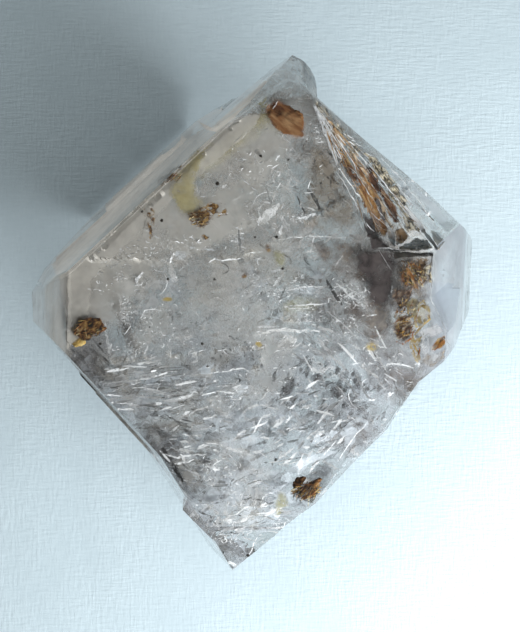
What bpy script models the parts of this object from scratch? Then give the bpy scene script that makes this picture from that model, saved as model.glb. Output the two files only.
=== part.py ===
"""Elestial quartz crystal: a stout, doubly ended crystal that lies on its largest face.

The crystal is one solid. It is made as such crystals grow: flat faces cut a convex core, and
smaller blocks that share its front and base planes are grown onto it as a shoulder, ledges,
layers and a flange. Shell-shaped fracture scoops and shallow growth hollows are then taken away.

Axes: +Y runs from the lower tip to the upper tip, +X to the right, and +Z up through the big
front face, which is parallel to the base face that the crystal rests on at z = 0.
"""
import math
import random

import bmesh
import bpy
from mathutils import Vector

MM = 0.001

# Driving sizes
HEIGHT = 36.0 * MM            # base face to front face
BLANK = 200.0 * MM            # cube that every block is cut from
SNAP = 0.001 * MM             # grid that block corners sit on, so that shared planes match
WELD = 0.01 * MM              # corners nearer than this become one
TOUCH = 0.0001 * MM           # corners nearer than this to a cutting plane lie on it
LAYER = 0.13 * MM             # one growth layer
INSET = 0.5 * MM              # hidden sides of grown blocks lie at least this far inside

# A crystal face is (bearing, lean, reach): the bearing of its outward normal in plan, degrees
# from +X; the degrees that it opens outward going down; and the distance in plan from the
# origin to the face at z = HEIGHT.
UPPER_LEFT = (133.0, 10.0, 21.7 * MM)
UPPER_LEFT_TIP = (124.0, 10.0, 23.6 * MM)
LEFT_CORNER = (148.0, 11.0, 25.1 * MM)
LEFT_INNER = (180.0, 22.6, 25.6 * MM)
LEFT_OUTER = (180.0, 14.2, 27.1 * MM)
LEFT_UNDER = (180.0, -20.0, 43.3 * MM)
LOWER_LEFT = (222.5, 5.5, 22.8 * MM)
CORE_FOOT = (268.0, 36.0, 26.2 * MM)
LOWER_RIGHT = (314.5, -5.0, 25.5 * MM)
LOWER_RIGHT_TOP = (329.0, -4.0, 25.2 * MM)
UPPER_RIGHT = (47.5, 3.0, 29.7 * MM)
UPPER_RIGHT_LOW = (51.5, 3.0, 29.2 * MM)
TIP_SLOPE = (93.0, 44.0, 29.8 * MM)
TIP_UNDERCUT = (92.0, -14.0, 40.2 * MM)
BACK_SLOPE = (201.7, -43.7, 52.0 * MM)
BACK_TIP = (88.0, -51.8, 74.0 * MM)

# Right shoulder: prism faces that cut off the right corner
SHOULDER_BEARING = 357.5
SHOULDER_TOP = (85.6, 22.0, 10.2 * MM)
SHOULDER_INNER = (SHOULDER_BEARING, 23.3, 25.2 * MM)
SHOULDER_OUTER = (SHOULDER_BEARING, 10.5, 28.5 * MM)
SHOULDER_UNDER = (SHOULDER_BEARING, -14.0, 38.9 * MM)
SHOULDER_LOW = (309.3, -4.0, 22.3 * MM)
SHOULDER_ROOT = (180.0, 0.0, -10.0 * MM)

# Small wedge that fills the corner between the front face and the shoulder
WEDGE = [(57.2, 24.0, 18.3 * MM), (90.0, 0.0, 11.6 * MM), (180.0, 0.0, -5.0 * MM),
         (270.0, 0.0, -6.0 * MM)]
WEDGE_FOOT = 32.0 * MM

# Low step on the front edge of the shoulder
STEP_EDGE = (28.9, 30.0, 22.9 * MM)
STEP_END = (90.0, 0.0, 3.5 * MM)
STEP_OUTWARD = 2.2 * MM
STEP_FOOT = 6.0 * MM

# Stepped upper right side: ledges fan out from near the upper tip
FAN_CENTRE = (8.7 * MM, 29.6 * MM)
FAN_STEPS = 8
FAN_BEARINGS = (21.7, 47.5)   # first and last riser
FAN_DIPS = (0.0, 25.0)        # first and last ledge, degrees that it slopes down
FAN_DIP_BEARING = 322.0
FAN_DIP_POWER = 0.8
FAN_FIRST_LEAN = 43.7
FAN_RISER_LEANS = (27.0, 3.0)
FAN_FOOT = 3.0 * MM
FAN_FOOT_RISE = 0.39 * MM     # each block of the fan starts this much higher than the last
FAN_ROOT = [(180.0, 0.0, 2.0 * MM), (270.0, 0.0, -4.0 * MM)]

# Lower tip: narrow horizontal ledges, then one sloping face
TIP_LEDGES = 3
TIP_LEDGE_BEARING = 268.0
TIP_LEDGE_TURN = 3.0
TIP_LEDGE_REACH = 26.8 * MM
TIP_LEDGE_WIDTH = 1.0 * MM
TIP_LEDGE_DROP = 0.6 * MM
TIP_LEDGE_LEAN = 30.0
TIP_FACE = (268.0, 51.8, 29.2 * MM)
TIP_FLANK = (213.0, 6.5, 21.0 * MM)
TIP_RIGHT = (306.9, -6.0, 28.1 * MM)
TIP_FOOT = 1.5 * MM
TIP_FOOT_RISE = 0.65 * MM
TIP_ROOT = -12.0 * MM

# Thin flange outside the lower left edge of the tip
FLANGE_DROP = 2.4 * MM
FLANGE_FOOT = 11.0 * MM
FLANGE = [(225.0, -5.0, 26.6 * MM), (180.0, 0.0, 9.5 * MM), (120.0, 5.0, -18.6 * MM),
          (0.0, 0.0, -2.0 * MM)]

# Growth layers on the walls: (wall, number of layers, first and last place along the wall,
# height of the lowest edge, height of the highest edge, thickness of one layer)
WALL_LAYERS = [
    (UPPER_LEFT, 3, -14.0 * MM, 9.0 * MM, 1.0 * MM, 13.0 * MM, 0.15 * MM),
    (LOWER_LEFT, 4, -10.0 * MM, 16.0 * MM, 2.0 * MM, 12.0 * MM, 0.11 * MM),
    (LOWER_RIGHT, 5, -17.0 * MM, 9.0 * MM, 3.0 * MM, 27.0 * MM, 0.3 * MM),
    (UPPER_RIGHT, 4, -12.0 * MM, 12.0 * MM, 2.0 * MM, 19.0 * MM, 0.3 * MM),
    (UPPER_LEFT_TIP, 3, -9.0 * MM, 7.0 * MM, 4.0 * MM, 24.0 * MM, 0.15 * MM),
]
END_LEANS = (-38.0, 22.0)     # lean of the two ends of a layer
WALL_LAYER_TRIM = 0.1         # share of its length that each layer is shorter by at each end
WALL_LAYER_SLIDE = 0.06       # share of its length that a layer may sit off centre

# Low plates on the front face: (bearing and reach of each edge), all in plan
PLATE_RISE = 0.22 * MM
PLATE_LEAN = 35.0
FRONT_PLATES = [
    [(270.0, -7.3 * MM), (300.0, -7.2 * MM), (21.7, 18.4 * MM), (90.0, 28.0 * MM),
     (133.0, 20.9 * MM), (180.0, 24.6 * MM)],
    [(180.0, -4.6 * MM), (90.0, 1.9 * MM), (270.0, 1.3 * MM), (20.0, 11.4 * MM)],
    [(95.0, -4.4 * MM), (275.0, 8.0 * MM), (222.0, 19.0 * MM), (340.0, 3.8 * MM)],
]

# Shell-shaped fractures: (centre of the ball that scoops them, radius, subdivisions)
SCOOPS = [
    ((28.9 * MM, -28.9 * MM, HEIGHT + 30.0 * MM), 36.2 * MM, 5),
    ((-38.0 * MM, -27.0 * MM, 4.0 * MM), 20.0 * MM, 4),
    ((34.0 * MM, -32.0 * MM, 8.0 * MM), 20.0 * MM, 4),
    ((-4.6 * MM, 28.4 * MM, HEIGHT + 0.4 * MM), 1.9 * MM, 3),
    ((-2.2 * MM, 29.6 * MM, HEIGHT + 0.9 * MM), 2.3 * MM, 3),
    ((0.9 * MM, 30.9 * MM, HEIGHT + 0.6 * MM), 2.2 * MM, 3),
    ((-4.9 * MM, 31.4 * MM, HEIGHT - 4.6 * MM), 2.6 * MM, 3),
    ((-0.2 * MM, 34.4 * MM, HEIGHT - 6.6 * MM), 2.4 * MM, 3),
]

# Blunt nub at the upper tip. Each side is (bearing, reach at its widest, height where it is
# widest, lean above that height, lean below it).
NUB = [
    (130.0, 25.9 * MM, 16.0 * MM, 10.0, -8.0),
    (92.0, 38.6 * MM, 21.0 * MM, 34.0, -22.0),
    (64.0, 36.9 * MM, 20.0 * MM, 38.0, -24.0),
    (40.0, 30.4 * MM, 19.0 * MM, 33.0, -18.0),
    (20.0, 21.1 * MM, 18.0 * MM, 27.0, -14.0),
    (5.0, 12.7 * MM, 17.0 * MM, 22.0, -10.0),
]
NUB_TOP = 32.5 * MM
NUB_FOOT = 5.0 * MM
NUB_ROOT = (270.0, 0.0, -27.0 * MM)

# Shallow hollows in the base face, between its growth layers: (edges in plan), depth
BASE_HOLLOWS = [
    ([(133.0, 24.0 * MM), (313.0, -19.5 * MM), (43.0, 16.0 * MM), (223.0, 8.0 * MM)], 0.7 * MM),
    ([(90.0, -8.0 * MM), (222.0, 14.0 * MM), (318.0, 9.0 * MM)], 0.5 * MM),
    ([(47.0, 26.5 * MM), (227.0, -22.5 * MM), (137.0, 3.0 * MM), (317.0, 11.0 * MM)], 0.9 * MM),
]

RANDOM_SEED = 11


def clear_scene():
    for item in list(bpy.data.objects):
        bpy.data.objects.remove(item, do_unlink=True)


def face_plane(face):
    """A point on the face and its outward normal."""
    bearing, lean, reach = face
    turn = math.radians(bearing)
    tilt = math.radians(lean)
    out = Vector((math.cos(turn), math.sin(turn), 0.0))
    normal = out * math.cos(tilt) + Vector((0.0, 0.0, math.sin(tilt)))
    return out * reach + Vector((0.0, 0.0, HEIGHT)), normal


def through(point, bearing, lean):
    """The face with this bearing and lean that passes the plan point at the front plane."""
    turn = math.radians(bearing)
    return bearing, lean, point[0] * math.cos(turn) + point[1] * math.sin(turn)


def moved(face, step):
    """The same face, moved outward by the step, or inward where the step is negative."""
    bearing, lean, reach = face
    return bearing, lean, reach + step


def upright(bearing, reach):
    """An upright face, for the ends of a block that lie inside the crystal."""
    return bearing, 0.0, reach


def between(ends, share):
    return ends[0] + share * (ends[1] - ends[0])


def add_object(name, bm):
    mesh = bpy.data.meshes.new(name)
    bm.to_mesh(mesh)
    bm.free()
    item = bpy.data.objects.new(name, mesh)
    bpy.context.collection.objects.link(item)
    return item


def cut_block(name, faces, top=HEIGHT, bottom=0.0):
    """A convex block bounded by the given faces and by two level planes."""
    planes = [face_plane(face) for face in faces]
    planes.append((Vector((0.0, 0.0, top)), Vector((0.0, 0.0, 1.0))))
    planes.append((Vector((0.0, 0.0, bottom)), Vector((0.0, 0.0, -1.0))))
    bm = bmesh.new()
    bmesh.ops.create_cube(bm, size=BLANK)
    for point, normal in planes:
        everything = bm.verts[:] + bm.edges[:] + bm.faces[:]
        cut = bmesh.ops.bisect_plane(bm, geom=everything, dist=TOUCH, plane_co=point,
                                     plane_no=normal, clear_outer=True)
        rim = [part for part in cut["geom_cut"] if isinstance(part, bmesh.types.BMEdge)]
        if rim:
            bmesh.ops.edgeloop_fill(bm, edges=rim)
    for vert in bm.verts:
        vert.co = Vector([round(value / SNAP) * SNAP for value in vert.co])
    bmesh.ops.remove_doubles(bm, verts=bm.verts[:], dist=WELD)
    bmesh.ops.recalc_face_normals(bm, faces=bm.faces[:])
    return add_object(name, bm)


def ball(name, centre, radius, detail):
    bm = bmesh.new()
    bmesh.ops.create_icosphere(bm, subdivisions=detail, radius=radius)
    bmesh.ops.translate(bm, verts=bm.verts[:], vec=centre)
    return add_object(name, bm)


def combine(body, tools, operation):
    """Grow the tools onto the body, or take them away from it."""
    for tool in tools:
        modifier = body.modifiers.new(tool.name, "BOOLEAN")
        modifier.operation = operation
        modifier.solver = "EXACT"
        modifier.object = tool
    depsgraph = bpy.context.evaluated_depsgraph_get()
    mesh = bpy.data.meshes.new_from_object(body.evaluated_get(depsgraph))
    body.modifiers.clear()
    body.data = mesh
    for tool in tools:
        bpy.data.objects.remove(tool, do_unlink=True)


def core_faces():
    first_riser = through(FAN_CENTRE, FAN_BEARINGS[0], FAN_FIRST_LEAN)
    return [UPPER_LEFT, UPPER_LEFT_TIP, LEFT_CORNER, LEFT_INNER, LEFT_OUTER, LEFT_UNDER,
            LOWER_LEFT, CORE_FOOT, LOWER_RIGHT, LOWER_RIGHT_TOP, UPPER_RIGHT, UPPER_RIGHT_LOW,
            moved(SHOULDER_OUTER, -INSET), moved(SHOULDER_UNDER, -INSET), TIP_SLOPE,
            TIP_UNDERCUT, BACK_SLOPE, BACK_TIP, first_riser]


def core():
    return cut_block("quartz_crystal", core_faces())


def shoulder():
    """Prism faces at the right corner, with a small step low on its front edge."""
    right_side = [moved(UPPER_RIGHT, -LAYER), moved(UPPER_RIGHT_LOW, -LAYER)]
    prism = [SHOULDER_TOP, SHOULDER_INNER, SHOULDER_OUTER, SHOULDER_UNDER, SHOULDER_LOW]
    step = [STEP_EDGE, STEP_END, moved(SHOULDER_INNER, STEP_OUTWARD),
            moved(SHOULDER_LOW, LAYER), moved(SHOULDER_OUTER, -LAYER),
            moved(SHOULDER_UNDER, -LAYER)]
    return [cut_block("shoulder", prism + right_side + [SHOULDER_ROOT]),
            cut_block("wedge", WEDGE, bottom=WEDGE_FOOT),
            cut_block("shoulder_step", step + [SHOULDER_ROOT], bottom=STEP_FOOT)]


def fan_ledges():
    """Ledges that fan out from the upper tip and drop towards the upper right side."""
    blocks = []
    for step in range(1, FAN_STEPS):
        share = step / (FAN_STEPS - 1)
        layer = step * LAYER
        dip = between(FAN_DIPS, share ** FAN_DIP_POWER)
        faces = [through(FAN_CENTRE, between(FAN_BEARINGS, share),
                         between(FAN_RISER_LEANS, share)),
                 through(FAN_CENTRE, FAN_DIP_BEARING, 90.0 - dip),
                 moved(UPPER_RIGHT, layer), moved(UPPER_RIGHT_LOW, layer)]
        for face in (TIP_SLOPE, TIP_UNDERCUT, UPPER_LEFT_TIP, SHOULDER_OUTER, SHOULDER_UNDER):
            faces.append(moved(face, -INSET - layer))
        blocks.append(cut_block(f"fan_{step}", faces + FAN_ROOT,
                                bottom=FAN_FOOT + step * FAN_FOOT_RISE))
    return blocks


def nub():
    """The blunt end of the upper tip, widest below the front face."""
    faces = [NUB_ROOT]
    for bearing, reach, widest, lean_above, lean_below in NUB:
        drop = HEIGHT - widest
        for lean in (lean_above, lean_below):
            faces.append((bearing, lean, reach - drop * math.tan(math.radians(lean))))
    return [cut_block("nub", faces, top=NUB_TOP, bottom=NUB_FOOT)]


def lower_tip():
    """The lower tip steps down in narrow ledges and ends in one sloping face."""
    blocks = []
    for step in range(TIP_LEDGES + 1):
        layer = step * LAYER
        faces = [moved(TIP_FLANK, layer), moved(TIP_RIGHT, layer), moved(TIP_FACE, -layer),
                 moved(LOWER_RIGHT, -LAYER - layer), moved(LOWER_RIGHT_TOP, -INSET - layer),
                 upright(90.0, TIP_ROOT - layer)]
        if step < TIP_LEDGES:
            faces.append((TIP_LEDGE_BEARING + step * TIP_LEDGE_TURN, TIP_LEDGE_LEAN,
                          TIP_LEDGE_REACH + step * TIP_LEDGE_WIDTH))
        blocks.append(cut_block(f"tip_{step}", faces, top=HEIGHT - step * TIP_LEDGE_DROP,
                                bottom=TIP_FOOT + step * TIP_FOOT_RISE))
    return blocks


def flange():
    """A thin layer that stands out past the lower left edge, a little below the front face."""
    faces = FLANGE + [moved(TIP_FACE, -INSET)]
    return [cut_block("flange", faces, top=HEIGHT - FLANGE_DROP, bottom=FLANGE_FOOT)]


def wall_layers():
    """Growth layers that stand on the walls, each shorter and a little prouder than the last."""
    blocks = []
    for row, (wall, count, start, end, low, high, thickness) in enumerate(WALL_LAYERS):
        bearing = wall[0]
        span = end - start
        for layer in range(count):
            trim = layer * WALL_LAYER_TRIM
            slide = random.uniform(-WALL_LAYER_SLIDE, WALL_LAYER_SLIDE) * span
            faces = [moved(wall, thickness * (layer + 1)),
                     (bearing - 90.0, random.uniform(*END_LEANS), -start - trim * span - slide),
                     (bearing + 90.0, random.uniform(*END_LEANS), end - trim * span + slide)]
            faces += [moved(other, -INSET - layer * LAYER) for other in core_faces()
                      if other != wall]
            blocks.append(cut_block(f"layer_{row}_{layer}", faces,
                                    top=high - trim * (high - low),
                                    bottom=low + trim * (high - low)))
    return blocks


def front_plates():
    blocks = []
    for number, edges in enumerate(FRONT_PLATES):
        faces = [(bearing, PLATE_LEAN, reach) for bearing, reach in edges]
        blocks.append(cut_block(f"plate_{number}", faces, top=HEIGHT + PLATE_RISE,
                                bottom=HEIGHT - PLATE_RISE))
    return blocks


def scoops():
    return [ball(f"scoop_{number}", centre, radius, detail)
            for number, (centre, radius, detail) in enumerate(SCOOPS)]


def base_hollows():
    blocks = []
    for number, (edges, depth) in enumerate(BASE_HOLLOWS):
        faces = [upright(bearing, reach) for bearing, reach in edges]
        blocks.append(cut_block(f"hollow_{number}", faces, top=depth, bottom=-INSET))
    return blocks


def tidy_mesh(item):
    """Merge corners that nearly touch, and move the crystal over its origin."""
    bm = bmesh.new()
    bm.from_mesh(item.data)
    bmesh.ops.triangulate(bm, faces=bm.faces[:])
    bmesh.ops.dissolve_degenerate(bm, dist=WELD, edges=bm.edges[:])
    bmesh.ops.triangulate(bm, faces=bm.faces[:])
    loose = [edge for edge in bm.edges if not edge.link_faces]
    bmesh.ops.delete(bm, geom=loose, context="EDGES")
    bmesh.ops.recalc_face_normals(bm, faces=bm.faces[:])
    low = Vector([min(vert.co[i] for vert in bm.verts) for i in range(3)])
    high = Vector([max(vert.co[i] for vert in bm.verts) for i in range(3)])
    centre = (low + high) / 2.0
    bmesh.ops.translate(bm, verts=bm.verts[:], vec=(-centre.x, -centre.y, -low.z))
    bm.to_mesh(item.data)
    bm.free()


def quartz_material():
    material = bpy.data.materials.new("clear_quartz")
    material.use_nodes = True
    shader = material.node_tree.nodes["Principled BSDF"]
    shader.inputs["Base Color"].default_value = (0.80, 0.80, 0.78, 1.0)
    shader.inputs["Roughness"].default_value = 0.05
    shader.inputs["Metallic"].default_value = 0.0
    shader.inputs["IOR"].default_value = 1.544
    shader.inputs["Transmission Weight"].default_value = 0.9
    return material


def main():
    random.seed(RANDOM_SEED)
    clear_scene()
    crystal = core()
    grown = shoulder() + fan_ledges() + nub() + lower_tip() + flange()
    grown += wall_layers() + front_plates()
    combine(crystal, grown, "UNION")
    combine(crystal, scoops() + base_hollows(), "DIFFERENCE")
    tidy_mesh(crystal)
    crystal.data.materials.clear()
    crystal.data.materials.append(quartz_material())


main()
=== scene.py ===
"""Looks of the elestial quartz crystal.

The crystal is clear to smoky glass-like quartz. Inside it lie healed cracks, hazy growth veils,
smoky zones, iron stains and clay. It rests on linen-embossed paper in soft light from the lower
right, and the camera looks straight down on its big front face.
"""
import math
import random

import bmesh
import bpy
from mathutils import Matrix, Vector, noise
from mathutils.bvhtree import BVHTree


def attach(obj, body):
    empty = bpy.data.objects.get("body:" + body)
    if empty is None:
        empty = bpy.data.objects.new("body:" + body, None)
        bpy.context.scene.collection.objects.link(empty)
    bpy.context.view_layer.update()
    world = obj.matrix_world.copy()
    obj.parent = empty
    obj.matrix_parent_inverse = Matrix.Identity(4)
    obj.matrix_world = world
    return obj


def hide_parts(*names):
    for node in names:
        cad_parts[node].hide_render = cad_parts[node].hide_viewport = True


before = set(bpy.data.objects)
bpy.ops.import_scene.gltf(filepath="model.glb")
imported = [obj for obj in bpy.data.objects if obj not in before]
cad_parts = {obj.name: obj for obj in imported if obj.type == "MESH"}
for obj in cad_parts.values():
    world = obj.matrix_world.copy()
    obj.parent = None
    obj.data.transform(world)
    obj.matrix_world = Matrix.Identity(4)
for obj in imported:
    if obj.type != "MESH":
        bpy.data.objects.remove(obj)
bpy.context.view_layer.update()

MM = 0.001
IOR = 1.544
HEIGHT = 36.0 * MM                    # front face above the paper
CAMERA = Vector((1.2 * MM, -1.1 * MM, 336.0 * MM))
HAZE_SHRINK = 0.955                   # a haze layer's size against the full cross-section
HAZE_WAVE = 1.2 * MM
SHEET_SHRINK = 0.983
FILM_RINGS = 9
FILM_SPOKES = 40
FILM_WAVE = 0.06                      # share of the larger radius
RIBBON_STEPS = 5                      # pieces from one corner to the next
RIBBON_WOBBLE = 0.22 * MM
FLAKE_CORNERS = 7
FLAKE_CURL = 0.15                     # share of the width
CLEAR_EDGE = 25.5 * MM                # half width of the cloudy body between the clear sides
INSIDE = 0.1 * MM                     # least depth of a patch or ribbon under the surface
SECTION_STEP = 3.0 * MM               # longer edges of a cross-section are halved
PATCH_STEP = 0.7 * MM                 # most space between the points of a patch's rim
PATCH_WOBBLE = 0.25 * MM              # how far the rim wanders
RANDOM_SEED = 5

random.seed(RANDOM_SEED)
noise.seed_set(RANDOM_SEED)           # noise_vector differs from run to run without it

# Tones: stops of a colour ramp, (place, colour)
COOL_GREY = [(0.3, (0.44, 0.47, 0.52)), (0.6, (0.84, 0.89, 0.96))]
SILVER = [(0.3, (0.8, 0.8, 0.8)), (0.6, (0.98, 0.98, 0.98))]
CHARCOAL = [(0.3, (0.03, 0.03, 0.032)), (0.65, (0.13, 0.125, 0.12))]
RUST = [(0.25, (0.07, 0.025, 0.012)), (0.45, (0.24, 0.085, 0.025)), (0.7, (0.52, 0.26, 0.09))]
OLIVE = [(0.3, (0.4, 0.36, 0.15)), (0.65, (0.62, 0.58, 0.3))]
TAN = [(0.3, (0.3, 0.19, 0.11)), (0.65, (0.62, 0.48, 0.34))]
COOL_SHEEN = [(0.3, (0.62, 0.68, 0.74)), (0.65, (0.9, 0.95, 1))]
RUST_GRAIN = [(0.4, (0.045, 0.018, 0.007)), (0.5, (0.22, 0.105, 0.03)), (0.6, (0.56, 0.36, 0.14))]
CLAY_GRAIN = [(0.42, (0.012, 0.007, 0.004)), (0.5, (0.13, 0.048, 0.014)),
              (0.62, (0.46, 0.26, 0.09))]
GOLD = [(0.3, (0.16, 0.06, 0.018)), (0.5, (0.44, 0.22, 0.07)), (0.7, (0.8, 0.56, 0.26))]
RED = [(0.34, (0.03, 0.012, 0.006)), (0.5, (0.11, 0.045, 0.02)), (0.68, (0.34, 0.18, 0.09))]
UMBER = [(0.3, (0.045, 0.03, 0.022)), (0.5, (0.14, 0.095, 0.07)), (0.7, (0.42, 0.33, 0.25))]
VIOLET = [(0.34, (0.045, 0.035, 0.035)), (0.66, (0.14, 0.115, 0.11))]
TAUPE = [(0.3, (0.27, 0.205, 0.145)), (0.7, (0.5, 0.41, 0.3))]
BLACK = [(0.3, (0.01, 0.009, 0.008)), (0.7, (0.06, 0.05, 0.04))]
PEPPER = [(0.4, (0.035, 0.028, 0.018)), (0.49, (0.32, 0.25, 0.15)), (0.58, (0.88, 0.78, 0.58))]
# A taupe lightened with painted light, for a stain that lies in shade
TAUPE_PAINTED_LIGHT = [(0.34, (0.32, 0.24, 0.16)), (0.66, (0.76, 0.63, 0.46))]
MILK = [(0.3, (0.8, 0.79, 0.8)), (0.7, (0.94, 0.92, 0.93))]
BAND_MILK = [(0.3, (0.8, 0.75, 0.68)), (0.7, (0.96, 0.91, 0.83))]
WARM_MILK = [(0.3, (0.76, 0.71, 0.63)), (0.7, (0.94, 0.89, 0.8))]
PALE = [(0.3, (0.46, 0.5, 0.55)), (0.7, (0.6, 0.64, 0.69))]
# Brighter than PALE: painted light for the prism face's low facet, which the window lights less
PALE_PAINTED_LIGHT = [(0.3, (0.58, 0.64, 0.71)), (0.7, (0.64, 0.7, 0.77))]
OLIVE_VEIL = [(0.3, (0.58, 0.47, 0.17)), (0.7, (0.86, 0.76, 0.4))]
OVAL = [(0.34, (0.14, 0.05, 0.02)), (0.5, (0.36, 0.155, 0.058)), (0.66, (0.66, 0.39, 0.19))]
OLIVE_GOLD = [(0.34, (0.16, 0.1, 0.03)), (0.5, (0.38, 0.27, 0.09)), (0.66, (0.66, 0.54, 0.28))]
OLIVE_GRAIN = [(0.36, (0.1, 0.075, 0.04)), (0.5, (0.3, 0.25, 0.15)), (0.64, (0.6, 0.53, 0.36))]
RED_BROWN = [(0.36, (0.035, 0.02, 0.014)), (0.5, (0.11, 0.065, 0.045)), (0.62, (0.38, 0.28, 0.2))]
TAN_BAND = [(0.32, (0.17, 0.085, 0.04)), (0.48, (0.47, 0.3, 0.16)), (0.66, (0.92, 0.77, 0.58))]
TAN_WHITE = [(0.3, (0.66, 0.54, 0.42)), (0.5, (0.98, 0.95, 0.9))]
AMBER_STREAK = [(0.34, (0.22, 0.075, 0.02)), (0.5, (0.55, 0.28, 0.1)), (0.66, (0.92, 0.8, 0.58))]
BROWN_GRAIN = [(0.34, (0.05, 0.028, 0.015)), (0.5, (0.24, 0.15, 0.085)), (0.64, (0.58, 0.44, 0.3))]
RUST_GOLD = [(0.36, (0.16, 0.05, 0.01)), (0.5, (0.55, 0.28, 0.06)), (0.64, (0.85, 0.66, 0.32))]
CREAM_STROKES = [(0.46, (0.085, 0.045, 0.025)), (0.53, (0.2, 0.13, 0.085)), (0.6, (0.66, 0.56, 0.44))]
AMBER = [(0.32, (0.35, 0.17, 0.03)), (0.5, (0.66, 0.45, 0.14)), (0.66, (0.88, 0.78, 0.5))]


# ---------------------------------------------------------------- node helpers

def new_material(name):
    material = bpy.data.materials.new(name)
    material.use_nodes = True
    material.node_tree.nodes.clear()
    return material, material.node_tree


def add(tree, kind, inputs=None, **settings):
    """Add a node. An input is a socket to link from, or a plain value."""
    node = tree.nodes.new(kind)
    for key, value in settings.items():
        setattr(node, key, value)
    for key, value in (inputs or {}).items():
        if isinstance(value, bpy.types.NodeSocket):
            tree.links.new(value, node.inputs[key])
        else:
            node.inputs[key].default_value = value
    return node


def coords(tree, scale=(1.0, 1.0, 1.0), turn=(0.0, 0.0, 0.0), shift=(0.0, 0.0, 0.0)):
    """Object coordinates: shifted, then turned, then scaled."""
    place = add(tree, "ShaderNodeTexCoord").outputs["Object"]
    moved = add(tree, "ShaderNodeMapping", {"Vector": place, "Location": shift})
    turned = add(tree, "ShaderNodeMapping", {"Vector": moved.outputs[0], "Rotation": turn})
    return add(tree, "ShaderNodeMapping", {"Vector": turned.outputs[0], "Scale": scale}).outputs[0]


def clouds(tree, vector, scale, detail=4.0, rough=0.55, distortion=0.0):
    return add(tree, "ShaderNodeTexNoise", {"Vector": vector, "Scale": scale, "Detail": detail,
                                            "Roughness": rough, "Distortion": distortion}
               ).outputs[0]


def maths(tree, operation, first, second=0.0, third=0.0):
    return add(tree, "ShaderNodeMath", {0: first, 1: second, 2: third}, operation=operation
               ).outputs[0]


def span(tree, value, low, high, bottom=0.0, top=1.0):
    """Map low..high to bottom..top, smoothly and clamped."""
    return add(tree, "ShaderNodeMapRange", {"Value": value, "From Min": low, "From Max": high,
                                            "To Min": bottom, "To Max": top},
               interpolation_type="SMOOTHSTEP").outputs[0]


def ramp(tree, value, stops):
    node = add(tree, "ShaderNodeValToRGB", {"Fac": value})
    band = node.color_ramp
    while len(band.elements) < len(stops):
        band.elements.new(0.5)
    for element, (place, colour) in zip(band.elements, stops):
        element.position = place
        element.color = (*colour, 1.0)
    return node.outputs[0]


def ragged_disc(tree, place, radii, soft, ragged):
    """1 inside a ragged ellipse, fading to 0 outside it."""
    sized = coords(tree, scale=(1.0 / radii[0], 1.0 / radii[1], 1.0))
    reach = add(tree, "ShaderNodeVectorMath", {0: sized}, operation="LENGTH").outputs["Value"]
    wobble = maths(tree, "SUBTRACT", clouds(tree, place, 420.0, 3.0), 0.5)
    return span(tree, maths(tree, "MULTIPLY_ADD", wobble, ragged * 2.0, reach), 1.0, 1.0 - soft)


def principled(tree, colour, roughness, **more):
    """A Principled shader. Other inputs are given by name, with _ for a space."""
    inputs = {"Base Color": colour, "Roughness": roughness}
    inputs.update((key.replace("_", " "), value) for key, value in more.items())
    return add(tree, "ShaderNodeBsdfPrincipled", inputs).outputs[0]


def bumps(tree, height, distance, strength):
    return add(tree, "ShaderNodeBump", {"Height": height, "Distance": distance,
                                        "Strength": strength}).outputs[0]


def finish(material, **shaders):
    """End the material with its shaders: Surface, and Volume where it has one."""
    add(material.node_tree, "ShaderNodeOutputMaterial", shaders)
    return material


# ---------------------------------------------------------------- mesh helpers

def add_piece(name, bm, material, smooth=False):
    mesh = bpy.data.meshes.new(name)
    bm.to_mesh(mesh)
    bm.free()
    mesh.polygons.foreach_set("use_smooth", [smooth] * len(mesh.polygons))
    piece = bpy.data.objects.new(name, mesh)
    bpy.context.scene.collection.objects.link(piece)
    mesh.materials.append(material)
    return piece


def inside_piece(name, bm, material, smooth=False):
    """A piece that lies inside the crystal and moves with it."""
    piece = add_piece(name, bm, material, smooth)
    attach(piece, "root")
    return piece


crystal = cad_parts["quartz_crystal"]
crystal_mesh = bmesh.new()
crystal_mesh.from_mesh(crystal.data)
bmesh.ops.remove_doubles(crystal_mesh, verts=crystal_mesh.verts[:], dist=0.001 * MM)
crystal_tree = BVHTree.FromBMesh(crystal_mesh)


def depth_inside(point):
    """How far the point is inside the crystal's surface. Negative outside it or for None."""
    if point is None:
        return -1.0
    near, normal, index, distance = crystal_tree.find_nearest(point)
    return distance if (point - near).dot(normal) < 0.0 else -distance


def sight(x, y):
    """The sight line to x, y in the front face's plane, and where it meets the crystal."""
    ray = (Vector((x, y, HEIGHT)) - CAMERA).normalized()
    place, normal, index, distance = crystal_tree.ray_cast(CAMERA, ray)
    return ray, place, normal


def below(x, y, depth):
    """The point this deep in the crystal that shows at x, y on the front face's plane.

    The sight line from above the middle is bent where it enters. None beside the crystal.
    """
    ray, place, normal = sight(x, y)
    if place is None:
        return None
    steep = -normal.dot(ray)
    bend = steep / IOR - math.sqrt(1.0 - (1.0 - steep * steep) / IOR ** 2)
    return place + depth * (ray / IOR + bend * normal)


def under(place, depth):
    """The same for a place and a depth in millimetres."""
    return below(place[0] * MM, place[1] * MM, depth * MM)


# ---------------------------------------------------------------- crystal skin

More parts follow.
